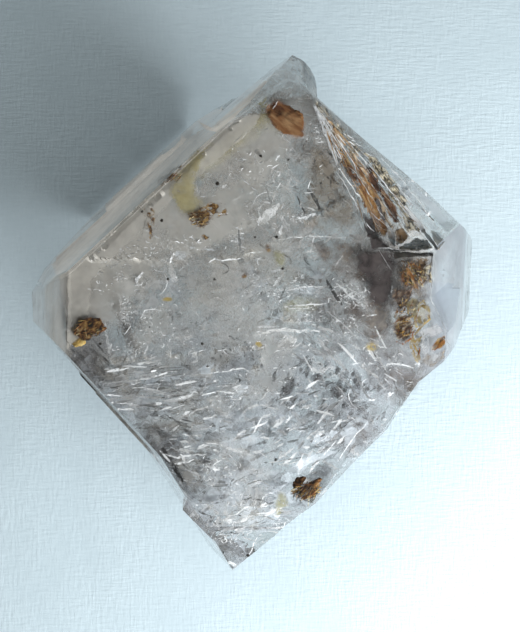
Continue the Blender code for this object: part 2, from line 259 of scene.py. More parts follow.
def quartz_material():
    """Clear, faintly smoky quartz with growth lines and etch pits as bumps."""
    material, tree = new_material("clear_quartz_skin")
    place = coords(tree)
    fine = clouds(tree, place, 900.0, 5.0)
    broad = clouds(tree, place, 120.0, 3.0)
    growth = add(tree, "ShaderNodeTexWave", {"Vector": coords(tree, turn=(0.0, 0.0, 0.75)),
                                             "Scale": 260.0, "Distortion": 9.0, "Detail": 3.0,
                                             "Detail Scale": 1.5}).outputs["Fac"]
    pits = add(tree, "ShaderNodeTexVoronoi", {"Vector": place, "Scale": 700.0}).outputs[0]
    height = maths(tree, "MULTIPLY_ADD", growth, 0.25, broad)
    height = maths(tree, "MULTIPLY_ADD", fine, 0.12, height)
    height = maths(tree, "MULTIPLY_ADD", span(tree, pits, 0.0, 0.18), 0.10, height)
    rough = span(tree, clouds(tree, place, 300.0, 4.0), 0.35, 0.75, 0.01, 0.10)
    shader = principled(tree, (1.0, 1.0, 1.0, 1.0), rough, Transmission_Weight=1.0, IOR=IOR,
                        Normal=bumps(tree, height, 0.10 * MM, 0.6))
    fog = add(tree, "ShaderNodeVolumeAbsorption", {"Color": (0.82, 0.80, 0.76, 1.0),
                                                   "Density": 22.0})
    return finish(material, Surface=shader, Volume=fog.outputs[0])


def crystal_skin():
    """The solid's own shape as the clear quartz. Its shadow is left to what lies inside it."""
    skin = add_piece("crystal_skin", crystal_mesh.copy(), quartz_material(), smooth=True)
    skin.data.set_sharp_from_angle(angle=math.radians(24.0))
    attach(skin, "root")
    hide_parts("quartz_crystal")
    skin.visible_shadow = False


# ---------------------------------------------------------------- haze

def haze_material(name, seed, tone, low, high, most):
    """Patchy milk, clear near the sides and cooler towards the lower half."""
    material, tree = new_material(name)
    place = coords(tree, shift=(seed * 0.013, seed * 0.007, seed * 0.011))
    broad = clouds(tree, place, 70.0, 1.0, 0.5, 0.6)
    fine = clouds(tree, place, 700.0, 4.0, 0.62, 1.2)
    share = maths(tree, "MULTIPLY_ADD", fine, 0.6, maths(tree, "MULTIPLY", broad, 0.4))
    cloudy = span(tree, share, low, high, 0.0, most)
    parts = add(tree, "ShaderNodeSeparateXYZ", {"Vector": coords(tree)}).outputs
    middle = span(tree, maths(tree, "ABSOLUTE", parts["X"]), CLEAR_EDGE, CLEAR_EDGE - 2.0 * MM)
    patchy = clouds(tree, place, 300.0, 2.0)
    colour = add(tree, "ShaderNodeMix", {"Factor": span(tree, parts["Y"], -14.0 * MM, 10.0 * MM),
                                         6: ramp(tree, patchy, COOL_GREY),
                                         7: ramp(tree, patchy, tone)},
                 data_type="RGBA").outputs[2]
    return finish(material, Surface=principled(tree, colour, 0.6,
                                               Alpha=maths(tree, "MULTIPLY", cloudy, middle)))


def section(bm, point, normal, shrink, wave, seed):
    """Add the crystal's cross-section at this plane, shrunk inward and gently waved."""
    cut = crystal_mesh.copy()
    everything = cut.verts[:] + cut.edges[:] + cut.faces[:]
    found = bmesh.ops.bisect_plane(cut, geom=everything, dist=1e-7, plane_co=point,
                                   plane_no=normal)
    flat = bmesh.new()
    index = {}
    for part in found["geom_cut"]:
        if isinstance(part, bmesh.types.BMVert):
            index[part] = flat.verts.new(part.co)
    for part in found["geom_cut"]:
        if isinstance(part, bmesh.types.BMEdge):
            flat.edges.new([index[vert] for vert in part.verts])
    cut.free()
    bmesh.ops.remove_doubles(flat, verts=flat.verts[:], dist=0.05 * MM)
    bmesh.ops.triangle_fill(flat, edges=flat.edges[:], use_beauty=True, normal=normal)
    for _ in range(4):
        long_edges = [edge for edge in flat.edges if edge.calc_length() > SECTION_STEP]
        bmesh.ops.subdivide_edges(flat, edges=long_edges, cuts=1)
        bmesh.ops.triangulate(flat, faces=flat.faces[:])
    middle = sum((vert.co for vert in flat.verts), Vector()) / max(len(flat.verts), 1)
    index = {}
    for vert in flat.verts:
        spot = middle + (vert.co - middle) * shrink
        spot += normal * wave * noise.noise(spot * 90.0 + Vector((seed, seed, seed)))
        index[vert] = bm.verts.new(spot)
    for face in flat.faces:
        corners = [index[vert] for vert in face.verts]
        if bm.faces.get(corners) is None:
            bm.faces.new(corners)
    flat.free()


FRONT = Vector((0.0, 0.0, 1.0))
SIDE_A = Vector((-0.68, 0.73, 0.17)).normalized()
SIDE_B = Vector((0.68, 0.73, 0.05)).normalized()


def haze():
    """Broad cloudy layers: parallel to the front face, and to two side faces."""
    grey = [(0.3, (0.52, 0.49, 0.45)), (0.6, (0.92, 0.88, 0.84))]
    layers = [
        ("haze_front", FRONT, [3.0, 8.0, 14.0, 21.0, 28.0], 0.40, 0.68, 0.55),
        ("haze_left", SIDE_A, [-14.0, -4.0, 7.0, 17.0], 0.50, 0.78, 0.26),
        ("haze_right", SIDE_B, [-16.0, -5.0, 6.0, 16.0], 0.50, 0.78, 0.32),
    ]
    centre = Vector((0.0, 0.0, HEIGHT / 2.0))
    for number, (name, normal, offsets, low, high, most) in enumerate(layers):
        bm = bmesh.new()
        for offset in offsets:
            if normal is FRONT:
                point = Vector((0.0, 0.0, HEIGHT - offset * MM))
            else:
                point = centre + normal * offset * MM
            section(bm, point, normal, HAZE_SHRINK, HAZE_WAVE, offset)
        inside_piece(name, bm, haze_material(name, number + 1.0, grey, low, high, most))


# ---------------------------------------------------------------- shards, veils and stains

def flake_material(name, tone, most, low=0.30, high=0.62, grain=1500.0):
    """Thin cracks: patchy, fading in and out along each flake."""
    material, tree = new_material(name)
    place = coords(tree)
    patch = clouds(tree, place, grain, 3.0, 0.6, 0.8)
    colour = ramp(tree, clouds(tree, place, 350.0, 2.0), tone)
    return finish(material, Surface=principled(
        tree, colour, 0.4, Normal=bumps(tree, patch, 0.1 * MM, 0.5),
        Alpha=span(tree, patch, low, high, 0.0, most)))


def stain_material(name, radii, tone, most, soft=0.7, ragged=0.6, grain=1500.0,
                   patch=(0.3, 0.6)):
    """A stain that fades out to a ragged rim. Its coordinates are the piece's own."""
    material, tree = new_material(name)
    place = coords(tree)
    mask = ragged_disc(tree, place, radii, soft, ragged)
    spots = clouds(tree, place, grain, 5.0, 0.62, 0.6)
    share = maths(tree, "MULTIPLY", mask, span(tree, spots, patch[0], patch[1], 0.15, 1.0))
    colour = ramp(tree, clouds(tree, place, grain * 0.5, 4.0, 0.6), tone)
    return finish(material, Surface=principled(
        tree, colour, 0.7, Normal=bumps(tree, spots, 0.15 * MM, 0.6),
        Alpha=maths(tree, "MULTIPLY", share, most)))


def clay_material(name, tone):
    material, tree = new_material(name)
    place = coords(tree)
    lumps = clouds(tree, place, 2000.0, 6.0, 0.65, 0.5)
    cells = add(tree, "ShaderNodeTexVoronoi", {"Vector": place, "Scale": 2600.0}).outputs[0]
    mixed = maths(tree, "MULTIPLY_ADD", cells, 0.35, maths(tree, "MULTIPLY", lumps, 0.75))
    colour = ramp(tree, mixed, tone)
    return finish(material, Surface=principled(tree, colour, 0.8,
                                               Normal=bumps(tree, mixed, 0.25 * MM, 0.8)))


def turned(heading, tilt=0.0, roll=0.0):
    """Rotation of a flake: its long axis along the heading, tilted up, then rolled about it."""
    spin = Matrix.Rotation(math.radians(heading), 3, "Z")
    lift = Matrix.Rotation(math.radians(-tilt), 3, "Y")
    return spin @ lift @ Matrix.Rotation(math.radians(roll), 3, "X")


def add_flake(bm, centre, length, width, frame_of, clearance):
    """A thin irregular flake, slightly curled, kept only where it is inside the crystal."""
    spots = []
    for corner in range(FLAKE_CORNERS):
        angle = 2.0 * math.pi * (corner + random.uniform(-0.3, 0.3)) / FLAKE_CORNERS
        reach = random.uniform(0.65, 1.1)
        local = Vector((math.cos(angle) * length * 0.5 * reach,
                        math.sin(angle) * width * 0.5 * reach,
                        FLAKE_CURL * width * random.uniform(-0.5, 0.5)))
        spots.append(centre + frame_of @ local)
    if min(depth_inside(spot) for spot in spots) < clearance:
        return
    middle = bm.verts.new(centre)
    rim = [bm.verts.new(spot) for spot in spots]
    for corner, spot in enumerate(rim):
        bm.faces.new((middle, spot, rim[(corner + 1) % FLAKE_CORNERS]))


def shards(name, material, fields, clearance=0.3):
    """Scatter flakes. A field is (centre x, y, half sizes x, y, depths, heading, spread,
    count, lengths, widths, rolls), in millimetres and degrees."""
    bm = bmesh.new()
    for x, y, half_x, half_y, depths, heading, spread, count, lengths, widths, rolls in fields:
        for _ in range(count):
            angle = random.uniform(0.0, 2.0 * math.pi)
            reach = math.sqrt(random.random())
            centre = under((x + half_x * reach * math.cos(angle),
                            y + half_y * reach * math.sin(angle)), random.uniform(*depths))
            frame_of = turned(heading + random.gauss(0.0, spread), random.gauss(0.0, 12.0),
                              random.uniform(*rolls))
            length = random.uniform(*lengths) * MM
            if centre is not None:
                add_flake(bm, centre, length, random.uniform(*widths) * MM, frame_of,
                          clearance * MM)
    inside_piece(name, bm, material)


def add_ribbon(bm, points, width, roll):
    """A narrow strip along a line of points, rolled about the line and thinner at its ends."""
    left, right = [], []
    for number, point in enumerate(points):
        ahead = points[min(number + 1, len(points) - 1)] - points[max(number - 1, 0)]
        across = ahead.cross(FRONT).normalized()
        across = Matrix.Rotation(math.radians(roll), 3, ahead.normalized()) @ across
        share = number / (len(points) - 1)
        half = 0.5 * width * math.sin(math.pi * (0.06 + 0.88 * share)) ** 0.6
        half *= random.uniform(0.75, 1.25)
        left.append(bm.verts.new(point + across * half))
        right.append(bm.verts.new(point - across * half))
    for number in range(len(points) - 1):
        bm.faces.new((left[number], left[number + 1], right[number + 1], right[number]))


def uneven_line(corners):
    """Points along a line through the corners, slightly uneven."""
    points = []
    for first, second in zip(corners, corners[1:]):
        points += [first.lerp(second, step / RIBBON_STEPS) for step in range(RIBBON_STEPS)]
    points.append(corners[-1])
    return [point + RIBBON_WOBBLE * noise.noise_vector(point * 900.0) for point in points]


def ribbons(name, material, lines):
    """Crack edges. A line is (corners x, y in millimetres, depth, width, roll)."""
    bm = bmesh.new()
    for corners, depth, width, roll in lines:
        path = uneven_line([Vector((x, y, 0.0)) * MM for x, y in corners])
        points = [below(spot.x, spot.y, depth * MM) for spot in path]
        points = [point for point in points if depth_inside(point) > INSIDE]
        if len(points) > 2:
            add_ribbon(bm, points, 0.6 * width * MM, roll)
    inside_piece(name, bm, material)


def placed_piece(name, bm, material, centre, heading, tilt):
    """A piece made about its own middle, put in place inside the crystal."""
    piece = inside_piece(name, bm, material, smooth=True)
    piece.location = centre
    piece.rotation_euler = turned(heading, tilt).to_euler()


def film(name, centre, radii, heading, tilt, material):
    """A thin stained layer: a waved disc."""
    bm = bmesh.new()
    middle = bm.verts.new((0.0, 0.0, 0.0))
    last = None
    for ring in range(1, FILM_RINGS + 1):
        row = []
        for spoke in range(FILM_SPOKES):
            angle = 2.0 * math.pi * spoke / FILM_SPOKES
            share = ring / FILM_RINGS
            flat = Vector((math.cos(angle) * radii[0], math.sin(angle) * radii[1], 0.0)) * share
            lift = noise.noise(flat * 400.0 + centre * 100.0) * FILM_WAVE * max(radii)
            row.append(bm.verts.new((flat.x, flat.y, lift)))
        for spoke in range(FILM_SPOKES):
            after = (spoke + 1) % FILM_SPOKES
            if last is None:
                bm.faces.new((middle, row[spoke], row[after]))
            else:
                bm.faces.new((last[spoke], row[spoke], row[after], last[after]))
        last = row
    placed_piece(name, bm, material, centre, heading, tilt)


def pebble(name, centre, radii, heading, tilt, material, rough):
    """A lump of clay with an uneven surface."""
    bm = bmesh.new()
    bmesh.ops.create_icosphere(bm, subdivisions=5, radius=1.0)
    for vert in bm.verts:
        even = Vector([vert.co[i] * radii[i] for i in range(3)])
        lump = noise.fractal(even * 700.0 + centre * 50.0, 0.7, 2.1, 4)
        vert.co = even * (1.0 + rough * lump)
    placed_piece(name, bm, material, centre, heading, tilt)


def stained_films(rows, **look):
    """Films, each under a place on the front face: place, depth and radii in millimetres."""
    for name, place, depth, radii, heading, tilt, tone, most, patch in rows:
        sizes = (radii[0] * MM, radii[1] * MM)
        film(name, under(place, depth), sizes, heading, tilt,
             stain_material(name, sizes, tone, most, patch=patch, **look))


def general_cracks():
    """Flakes all through the crystal."""
    middle = (-1.0, -1.0)
    shards("cracks_silver", flake_material("crack_silver", SILVER, 0.85), [
        (*middle, 31, 33, (0.6, 30), 8, 60, 1700, (0.6, 3), (0.12, 0.5), (-85, 85)),
        (*middle, 31, 33, (5, 30), 60, 90, 260, (2, 6), (0.5, 1.6), (-85, 85)),
    ])
    shards("cracks_dark", flake_material("crack_dark", CHARCOAL, 0.6, 0.35, 0.65), [
        (*middle, 31, 33, (0.6, 28), 8, 60, 750, (0.4, 2.2), (0.1, 0.4), (-85, 85)),
        (*middle, 31, 33, (3, 30), 60, 90, 90, (2, 5), (0.8, 2.4), (-85, 85)),
    ], 1.6)


def laminar_cracks():
    """Bands of parallel flakes, mostly in the lower left half."""
    lean = (-60.0, 60.0)
    shards("laminar_silver", flake_material("laminar_silver", SILVER, 0.85, 0.25, 0.5), [
        (-14, -10.5, 7, 3.6, (0.5, 5), 4, 7, 120, (1, 4.5), (0.1, 0.5), (-40, 40)),
        (-6, -14.5, 8, 5, (0.5, 6), 12, 12, 80, (0.8, 3.6), (0.1, 0.5), (-40, 40)),
        (-8, -21, 6, 3.5, (0.5, 6), -10, 22, 60, (0.7, 3), (0.12, 0.7), lean),
        (6, -16, 8, 6, (0.5, 8), 24, 20, 90, (0.8, 3.4), (0.1, 0.7), lean),
        (-1, -28, 5.5, 5, (0.5, 7), 12, 24, 70, (0.6, 3), (0.1, 0.7), lean),
        (13, -7, 8, 5, (0.5, 8), -48, 14, 60, (1, 5), (0.1, 0.6), lean),
        (4, 19, 6, 6.5, (0.6, 5), 40, 60, 70, (0.3, 1.8), (0.05, 0.22), lean),
    ])
    shards("laminar_dark", flake_material("laminar_dark", CHARCOAL, 0.7, 0.34, 0.6), [
        (-13, -11, 7, 4, (0.5, 5), 4, 7, 90, (0.6, 3), (0.08, 0.4), (-40, 40)),
        (-10, -17, 6, 4.5, (0.5, 6), -20, 18, 130, (0.8, 3.2), (0.15, 0.8), lean),
        (-7, -23.5, 4.5, 3.5, (0.5, 6), -30, 40, 90, (0.6, 2.4), (0.15, 0.8), lean),
        (8, -11, 7, 4, (0.5, 7), 55, 22, 90, (0.8, 3), (0.15, 0.9), lean),
        (-22, -8.5, 3, 3.5, (0.5, 5), -52, 8, 90, (1, 4.5), (0.1, 0.45), lean),
        (-2, -7, 3.5, 3, (0.5, 3), 10, 50, 90, (0.3, 1.4), (0.1, 0.45), lean),
        (10.5, 17, 3, 5, (0.5, 5), -60, 18, 60, (0.6, 2.4), (0.1, 0.45), lean),
        (16, -15, 5, 5, (0.5, 6), 45, 20, 70, (0.8, 3), (0.15, 0.8), lean),
    ], 0.9)
    # Broad pale and grey sheets that give the lower half its glassy look
    shards("sheets_pale", flake_material("sheet_pale", COOL_SHEEN, 0.5, 0.36, 0.6, grain=500), [
        (4, -19, 12, 8, (1, 9), 35, 30, 46, (3, 8), (1, 3), (-50, 50)),
        (-8, -14, 10, 8, (1, 9), 10, 20, 30, (3, 7), (0.8, 2.4), (-50, 50)),
        (0, -28, 6, 6, (1, 9), 30, 40, 20, (2, 6), (0.8, 2.4), (-50, 50)),
        (-4, 2, 14, 8, (1.5, 9), 8, 30, 30, (2, 6), (0.6, 2), (-50, 50)),
    ], 0.9)
    shards("sheets_grey", flake_material("sheet_grey", CHARCOAL, 0.45, 0.4, 0.64, grain=500), [
        (6, -16, 12, 8, (1, 9), 35, 30, 30, (2, 6), (0.8, 2.2), (-50, 50)),
        (-9, -17, 9, 8, (1, 9), -25, 30, 30, (2, 6), (0.8, 2.4), (-50, 50)),
        (8, 2, 10, 8, (1.5, 9), 20, 50, 22, (2, 5), (0.6, 1.8), (-50, 50)),
    ], 1.2)


def add_arc(bm, x, y, depth, radius, width):
    """A small shell-shaped crack seen as a thin arc, if it fits inside the crystal."""
    start = random.uniform(0.0, 360.0)
    sweep = random.uniform(40.0, 140.0)
    flat = random.uniform(0.4, 1.0)
    lean = random.uniform(-0.6, 0.6)
    points = []
    for step in range(7):
        angle = math.radians(start + sweep * step / 6.0)
        along, across = radius * math.cos(angle), radius * flat * math.sin(angle)
        points.append(under((x + along, y + across), depth + lean * along))
    if min(depth_inside(point) for point in points) > 0.3 * MM:
        add_ribbon(bm, points, width * MM, random.uniform(-60.0, 60.0))


def crackle_chains():
    """Chains of small bright cracks."""
    places = [
        ((-19.5, 6.5), 3, 1.1, 50), ((-15.6, 8.1), 3.4, 1.2, 70), ((-12, 9.1), 3, 0.9, 60),
        ((-7.8, 9.5), 2.6, 1.1, 60), ((-21.2, 3.2), 2.2, 2.2, 40), ((-18.3, 4.2), 0.7, 0.9, 40),
        ((-16, 3.8), 0.8, 1.2, 50), ((-17.7, -0.5), 0.9, 2, 80), ((-14.2, -1.4), 2.4, 2.6, 40),
        ((-17, -6.1), 3.4, 1.6, 80), ((-0.2, 20), 3, 2, 70), ((3.3, 17.9), 2.6, 2.2, 70),
        ((-2.2, 9.8), 1.2, 2, 40), ((1.5, 13), 2.6, 1.8, 60), ((6.8, 13), 2.6, 1.2, 60),
        ((1.9, 2.5), 3.4, 3, 120), ((6.8, 3.2), 2.6, 2.2, 80), ((14.1, 1.6), 2.6, 2, 150),
        ((8.2, -1), 2.6, 1.4, 60), ((-0.2, -4.5), 2.6, 2, 60), ((13.1, -3.1), 3, 2, 80),
        ((-3, -12.2), 3.4, 2.6, 90), ((5.4, -15.7), 4.4, 2.6, 100), ((-4.4, -22.7), 3.2, 2.6, 120),
        ((-0.2, -26.9), 3.2, 2.4, 100), ((-3, -31.8), 2, 2.4, 80), ((9.6, -18.5), 3, 2.6, 80),
        ((9.6, 24.9), 1.6, 2.4, 80), ((-6.5, 20), 2.4, 1.2, 24), ((18.7, -7.3), 3, 2, 60),
        ((-11.4, -3.1), 5, 5, 90), ((6.8, -7.3), 7, 6, 160), ((-8.6, -12.9), 6, 4, 120)
    ]
    bm = bmesh.new()
    for (x, y), half_x, half_y, count in places:
        for _ in range(count):
            add_arc(bm, x + random.gauss(0.0, 0.5) * half_x, y + random.gauss(0.0, 0.5) * half_y,
                    random.uniform(0.4, 2.5), random.uniform(0.08, 0.5),
                    random.uniform(0.03, 0.13))
    inside_piece("crackle_chains", bm, flake_material("crackle", SILVER, 1.0, 0.10, 0.35))


def crack_edges():
    """Single crack edges that catch the light or stay dark."""
    ribbons("crack_edges_silver", flake_material("edge_silver", SILVER, 0.95, 0.36, 0.56), [
        ([(-2.2, 11.4), (-1.3, 11.2)], 1.2, 0.5, 20),
        ([(-1.9, 11.4), (-1.7, 9.5), (-1.5, 7.9)], 1.2, 0.65, 30),
        ([(-1.5, 7.9), (1.5, 7.9)], 1.3, 0.18, 30),
        ([(-6.1, 6.5), (-1.3, 7.3)], 1.4, 0.55, 30),
        ([(-7.2, 15.7), (-5, 15.7)], 1, 0.2, 10),
        ([(-16.3, 3.1), (-15.9, 4.1), (-15.2, 5.1)], 1.5, 0.9, 30),
        ([(-8.7, 8.8), (-11.1, 7), (-14.3, 4.8), (-16.2, 3.4)], 2.2, 0.35, 50),
        ([(-15.6, -1.4), (-14.8, -0.3), (-13.5, 0), (-12.4, -0.5)], 2, 0.2, 40),
        ([(-15.5, -1.9), (-15, -3.3), (-14.2, -4.2)], 2, 0.2, 40),
        ([(-20.1, -13.1), (-17.6, -13.1), (-15.6, -13.4)], 1.2, 0.4, 20),
        ([(-18.7, -14), (-16.2, -14.1)], 1.5, 0.6, 25),
        ([(-8.6, -6.3), (-6.5, -6.1)], 1.2, 0.25, 20),
        ([(-5.7, -8.9), (-4.1, -8.7), (-0.5, -8.7)], 1.2, 0.45, 20),
        ([(-0.2, -4), (2, -3.3), (4.8, -2.9), (7.4, -3.1), (9.9, -3.1)], 2.5, 0.8, 35),
        ([(10.4, -0.5), (12.4, -1.9), (14.1, -3.6), (16, -4.7)], 1.5, 0.35, 40),
        ([(11.7, -7.8), (13.1, -9.8), (14.9, -12.2)], 1.8, 0.3, 40),
        ([(11.1, -9.8), (12.7, -11.5), (13.8, -13.1)], 2, 0.25, 40),
        ([(-11.8, -20.3), (-10, -20.7), (-8, -20.3), (-6.1, -20.3)], 1.2, 0.45, 25),
        ([(-11, -21.4), (-9.2, -21.5), (-7.8, -21)], 1.6, 0.5, 35),
        ([(-6.1, -18.6), (-3.8, -19), (-1.9, -19.9), (0.6, -20.7)], 1.5, 0.55, 25),
        ([(-7.8, -22.7), (-6.8, -23.2)], 1.2, 0.35, 20),
        ([(3.7, -21.5), (5.4, -21.8), (6.8, -21.3)], 1.4, 0.25, 25),
        ([(5.4, 0.3), (7.9, 0.4), (10.4, 0.6)], 1, 0.3, 20),
        ([(4.8, 0.9), (4.8, 0), (5.7, -0.1), (8.5, 0)], 1.1, 0.25, 20),
        ([(5.1, 2.5), (7.4, 3), (9.9, 2.8)], 2, 0.4, 30),
        ([(11.8, 3.5), (13.2, 2.3), (14.6, 1), (15.8, 0)], 1, 0.9, 25),
        ([(12.4, 3.7), (14.1, 2.3), (15.5, 1.1)], 1.6, 0.5, 45),
        ([(15.2, -1.1), (17.4, -1)], 0.9, 0.35, 20),
        ([(6.2, 12.6), (7.6, 12.8), (9, 13.3)], 0.9, 0.9, 15),
        ([(-1.6, 18.6), (-0.5, 17.4), (0.9, 16.3)], 1.5, 0.3, 30),
        ([(4.3, 24.1), (5.4, 22.7), (6.8, 20.7)], 1.5, 0.25, 30),
        ([(3.4, 20.6), (4.1, 21.3)], 1.2, 0.45, 20),
        ([(1.8, 14.9), (2.6, 14.9)], 1.2, 0.35, 20),
        ([(3.7, 9.8), (8.2, 10.1), (13.1, 9.8)], 1.5, 0.2, 30),
        ([(-6.4, 27.2), (-5.2, 26.3), (-4.5, 25.4)], 0.7, 0.25, 20),
        ([(-1.2, 30.3), (0.1, 30.1)], 0.8, 0.8, 15),
        ([(6.8, 31.5), (7.9, 30.1)], 0.7, 0.5, 15),
        ([(-5, -29.1), (-3.6, -29.5), (-2.2, -29.4)], 0.9, 0.6, 20),
        ([(-3.3, -35.3), (-2.6, -35.8), (-2.2, -36.7)], 1, 0.8, 15),
        ([(-0.8, -35.3), (0.1, -33.6), (0.9, -32.2)], 1, 0.25, 30),
        ([(2.6, -32.5), (4, -30.8), (4.8, -29.7)], 1.4, 0.3, 30),
        ([(20.8, -8.9), (21.4, -10.1), (22.5, -10.3)], 1, 0.2, 20),
        ([(12.1, -21.5), (14.1, -18.5), (16, -16.2)], 1.2, 0.25, 50),
    ])
    ribbons("ridge_lights", flake_material("ridge_light", SILVER, 1, 0.22, 0.42), [
        ([(12.3, 19.6), (13.8, 17.5), (15.1, 15.4), (15.8, 13.2), (16.2, 11.1)], 0.5, 0.35, 10),
        ([(11.8, 19.1), (13.4, 17), (14.5, 14.9), (15.2, 12.9), (15.6, 10.9)], 0.6, 0.22, 10),
        ([(9.3, 28.3), (10.7, 26.1), (12.1, 23.5), (14.1, 20.3), (15.6, 17.4), (17.7, 14), (19.4, 11.2)],
         0.4, 0.22, 10),
        ([(8.5, 28.6), (9.6, 26.3), (11, 23.1), (12.1, 20.2)], 0.4, 0.3, 10),
        ([(13.8, 22.7), (16, 20.5), (18.6, 17.4), (20.8, 14.3), (23.6, 10.7), (25, 8.4)],
         0.4, 0.22, 10),
        ([(18, 21.2), (20.2, 18.8), (23.6, 14.6), (27.1, 10.1)], 0.4, 0.16, 10),
        ([(19.3, 11.2), (19.7, 10.1), (20.1, 8.7)], 0.4, 1.6, 5),
        ([(21.4, 14.2), (23, 12.1), (24.7, 10), (26.1, 8.1)], 0.4, 1.2, 5),
        ([(17.7, 8.3), (20.2, 8.3), (22.8, 8.1), (25.1, 8)], 0.4, 0.16, 10),
        ([(25.4, 7.7), (25.1, 3.9), (25.3, 1.1), (26.3, -0.8), (27.1, -3.1), (27.4, -6.1)],
         0.4, 0.14, 10),
        ([(29.9, 3.1), (29.9, -0.8), (29.6, -4.6)], 0.4, 0.12, 10),
    ])
    ribbons("ridge_tans", flake_material("ridge_tan", TAN_BAND, 1, 0.2, 0.4), [
        ([(20.7, 10.9), (21.2, 10.1), (20.8, 9.1)], 0.4, 2, 5),
        ([(16.9, 16.5), (18.1, 14.3), (19.1, 12.1), (19.5, 11.1)], 0.5, 0.8, 5),
        ([(10.4, 26.6), (11.8, 24.7), (13, 22.7)], 0.4, 0.9, 5),
        ([(14.1, 21.6), (15.5, 19.3), (16.7, 17.4)], 0.4, 0.7, 5),
    ])
    ribbons("crack_edges_dark", flake_material("edge_dark", CHARCOAL, 0.9, 0.32, 0.52), [
        ([(10.4, 3.8), (11.4, 2), (12.7, 0.3)], 1.2, 0.9, 20),
        ([(-11.4, -12.2), (-9.7, -12)], 1, 0.3, 10),
        ([(-13.1, -12.4), (-11.1, -12.3)], 1.3, 0.25, 10),
        ([(-9.9, -15.5), (-7.8, -15.8)], 1, 0.3, 10),
        ([(-14.2, 13.5), (-14.8, 12.1), (-15.3, 10.1)], 1, 0.15, 10),
        ([(-25.8, -1.1), (-25.7, -2.8), (-25.8, -5.3)], 1, 0.35, 10),
        ([(-21.5, -13.3), (-19.8, -14.7), (-18.1, -16.4)], 1.5, 0.9, 40),
        ([(-12.2, -19.3), (-10.8, -21.5), (-9.2, -24.1)], 1.5, 1.2, 40),
        ([(3.3, -21.3), (3.9, -20.8)], 0.9, 0.35, 10),
        ([(3.9, -21.3), (5.4, -21), (7.1, -20.7)], 1.3, 0.25, 10),
        ([(17.7, -11.6), (19.4, -10.5)], 0.9, 0.2, 10),
        ([(12.1, -16.8), (13.2, -16.2), (14.4, -15.1)], 1.2, 0.2, 10),
        ([(18.3, -17.6), (18.8, -16.8), (20, -15.7)], 1.2, 0.6, 30),
        ([(17.4, 8), (20.2, 8), (22.8, 7.9), (25.3, 7.7)], 0.9, 0.75, 20),
        ([(25.1, 7.3), (25.3, 5.1), (25, 2.8)], 0.9, 0.5, 20),
        ([(-0.9, -35.5), (0.1, -35), (1.5, -34.4)], 1, 0.6, 20),
        ([(-4.7, -33.3), (-3.6, -35), (-2.6, -36.5)], 1, 0.5, 20),
        ([(-5.1, -30.8), (-3.3, -31.6), (-1.6, -31.5)], 0.9, 0.25, 20),
        ([(-7.6, -28), (-6.1, -28.8), (-4.7, -29.9)], 1, 0.4, 20),
        ([(6.2, 15.7), (6.8, 14.3), (7.6, 12.9)], 1.5, 0.5, 30),
        ([(7.9, 16.5), (8.8, 15.1), (9.3, 13.9)], 1.2, 0.9, 30),
    ])


def arc_cracks():
    """Larger shell-shaped cracks, bright and dark."""
    silver = bmesh.new()
    dark = bmesh.new()
    fields = [
        (-13, -2, 4.5, 3.5, 18), (8, 3, 7, 4, 18), (-16, 3, 4.5, 4, 10), (8, -15, 9, 6, 20),
        (-2, -19, 8, 5, 16), (3, 15, 6, 8, 18), (-4, 0, 9, 7, 18), (0, -28, 5, 4, 8), (20, -9, 4, 3, 10)
    ]
    for x, y, half_x, half_y, count in fields:
        for number in range(count):
            add_arc(silver if number % 3 else dark, x + random.uniform(-half_x, half_x),
                    y + random.uniform(-half_y, half_y), random.uniform(0.8, 12.0),
                    random.uniform(0.5, 2.4), random.uniform(0.08, 0.24))
    inside_piece("arc_cracks_silver", silver, flake_material("arc_silver", SILVER, 0.9, 0.2, 0.5))
    inside_piece("arc_cracks_dark", dark, flake_material("arc_dark", CHARCOAL, 0.8, 0.2, 0.5))


def iron_stains():
    """Yellow to rusty films, each thinnest at its rim."""
    rust = [(0.38, (0.06, 0.024, 0.008)), (0.5, (0.26, 0.12, 0.03)), (0.62, (0.54, 0.33, 0.11))]
    gold = [(0.3, (0.55, 0.36, 0.08)), (0.65, (0.85, 0.68, 0.28))]
    pale = [(0.3, (0.5, 0.46, 0.24)), (0.65, (0.68, 0.66, 0.44))]
    films = [
        # name, place, depth, radii, heading, tilt, tone, most, patch
        ("stain_olive_lens", (-11.8, 1.3), 1.5, (0.9, 0.45), 0, 0, gold, 1, (0.2, 0.4)),
        ("stain_middle_dot", (-1, 4.6), 1, (0.6, 0.45), 30, 0, rust, 1, (0.3, 0.5)),
        ("stain_middle_streak", (2.3, 8.4), 1.4, (0.55, 0.9), 20, 0, rust, 0.8, (0.3, 0.5)),
        ("stain_middle_veil", (3.9, 6.9), 1.8, (1, 1.9), 25, 0, OLIVE, 0.6, (0.25, 0.55)),
        ("stain_low_left", (0.9, -5.2), 1.6, (0.6, 0.7), 0, 0, gold, 0.95, (0.25, 0.45)),
        ("stain_low_right", (16.7, -5.4), 1.4, (1, 0.95), 0, 0, gold, 0.9, (0.35, 0.55)),
        ("stain_cream", (4, -27.7), 1.6, (1.1, 1.5), -10, 0, pale, 0.85, (0.3, 0.55)),
        ("stain_cream_foot", (3.7, -28.8), 1.6, (0.6, 0.9), 0, 0, OLIVE, 0.7, (0.35, 0.55)),
        ("stain_ledge", (6.8, 0.3), 1.8, (3.3, 1.6), 2, 0, OLIVE, 0.35, (0.25, 0.6)),
        ("stain_under_oval", (9.9, 20.7), 4.5, (4, 5.4), 24, 8, TAN, 0.5, (0.15, 0.6)),
        ("stain_fan_inner", (12.1, 14.4), 5.5, (3.4, 4.6), 20, 8, TAN, 0.45, (0.15, 0.6)),
        ("stain_oval_halo", (3.4, 26.1), 2.6, (2.6, 2.5), -30, 5, OLIVE, 0.85, (0.1, 0.4)),
    ]
    stained_films(films)


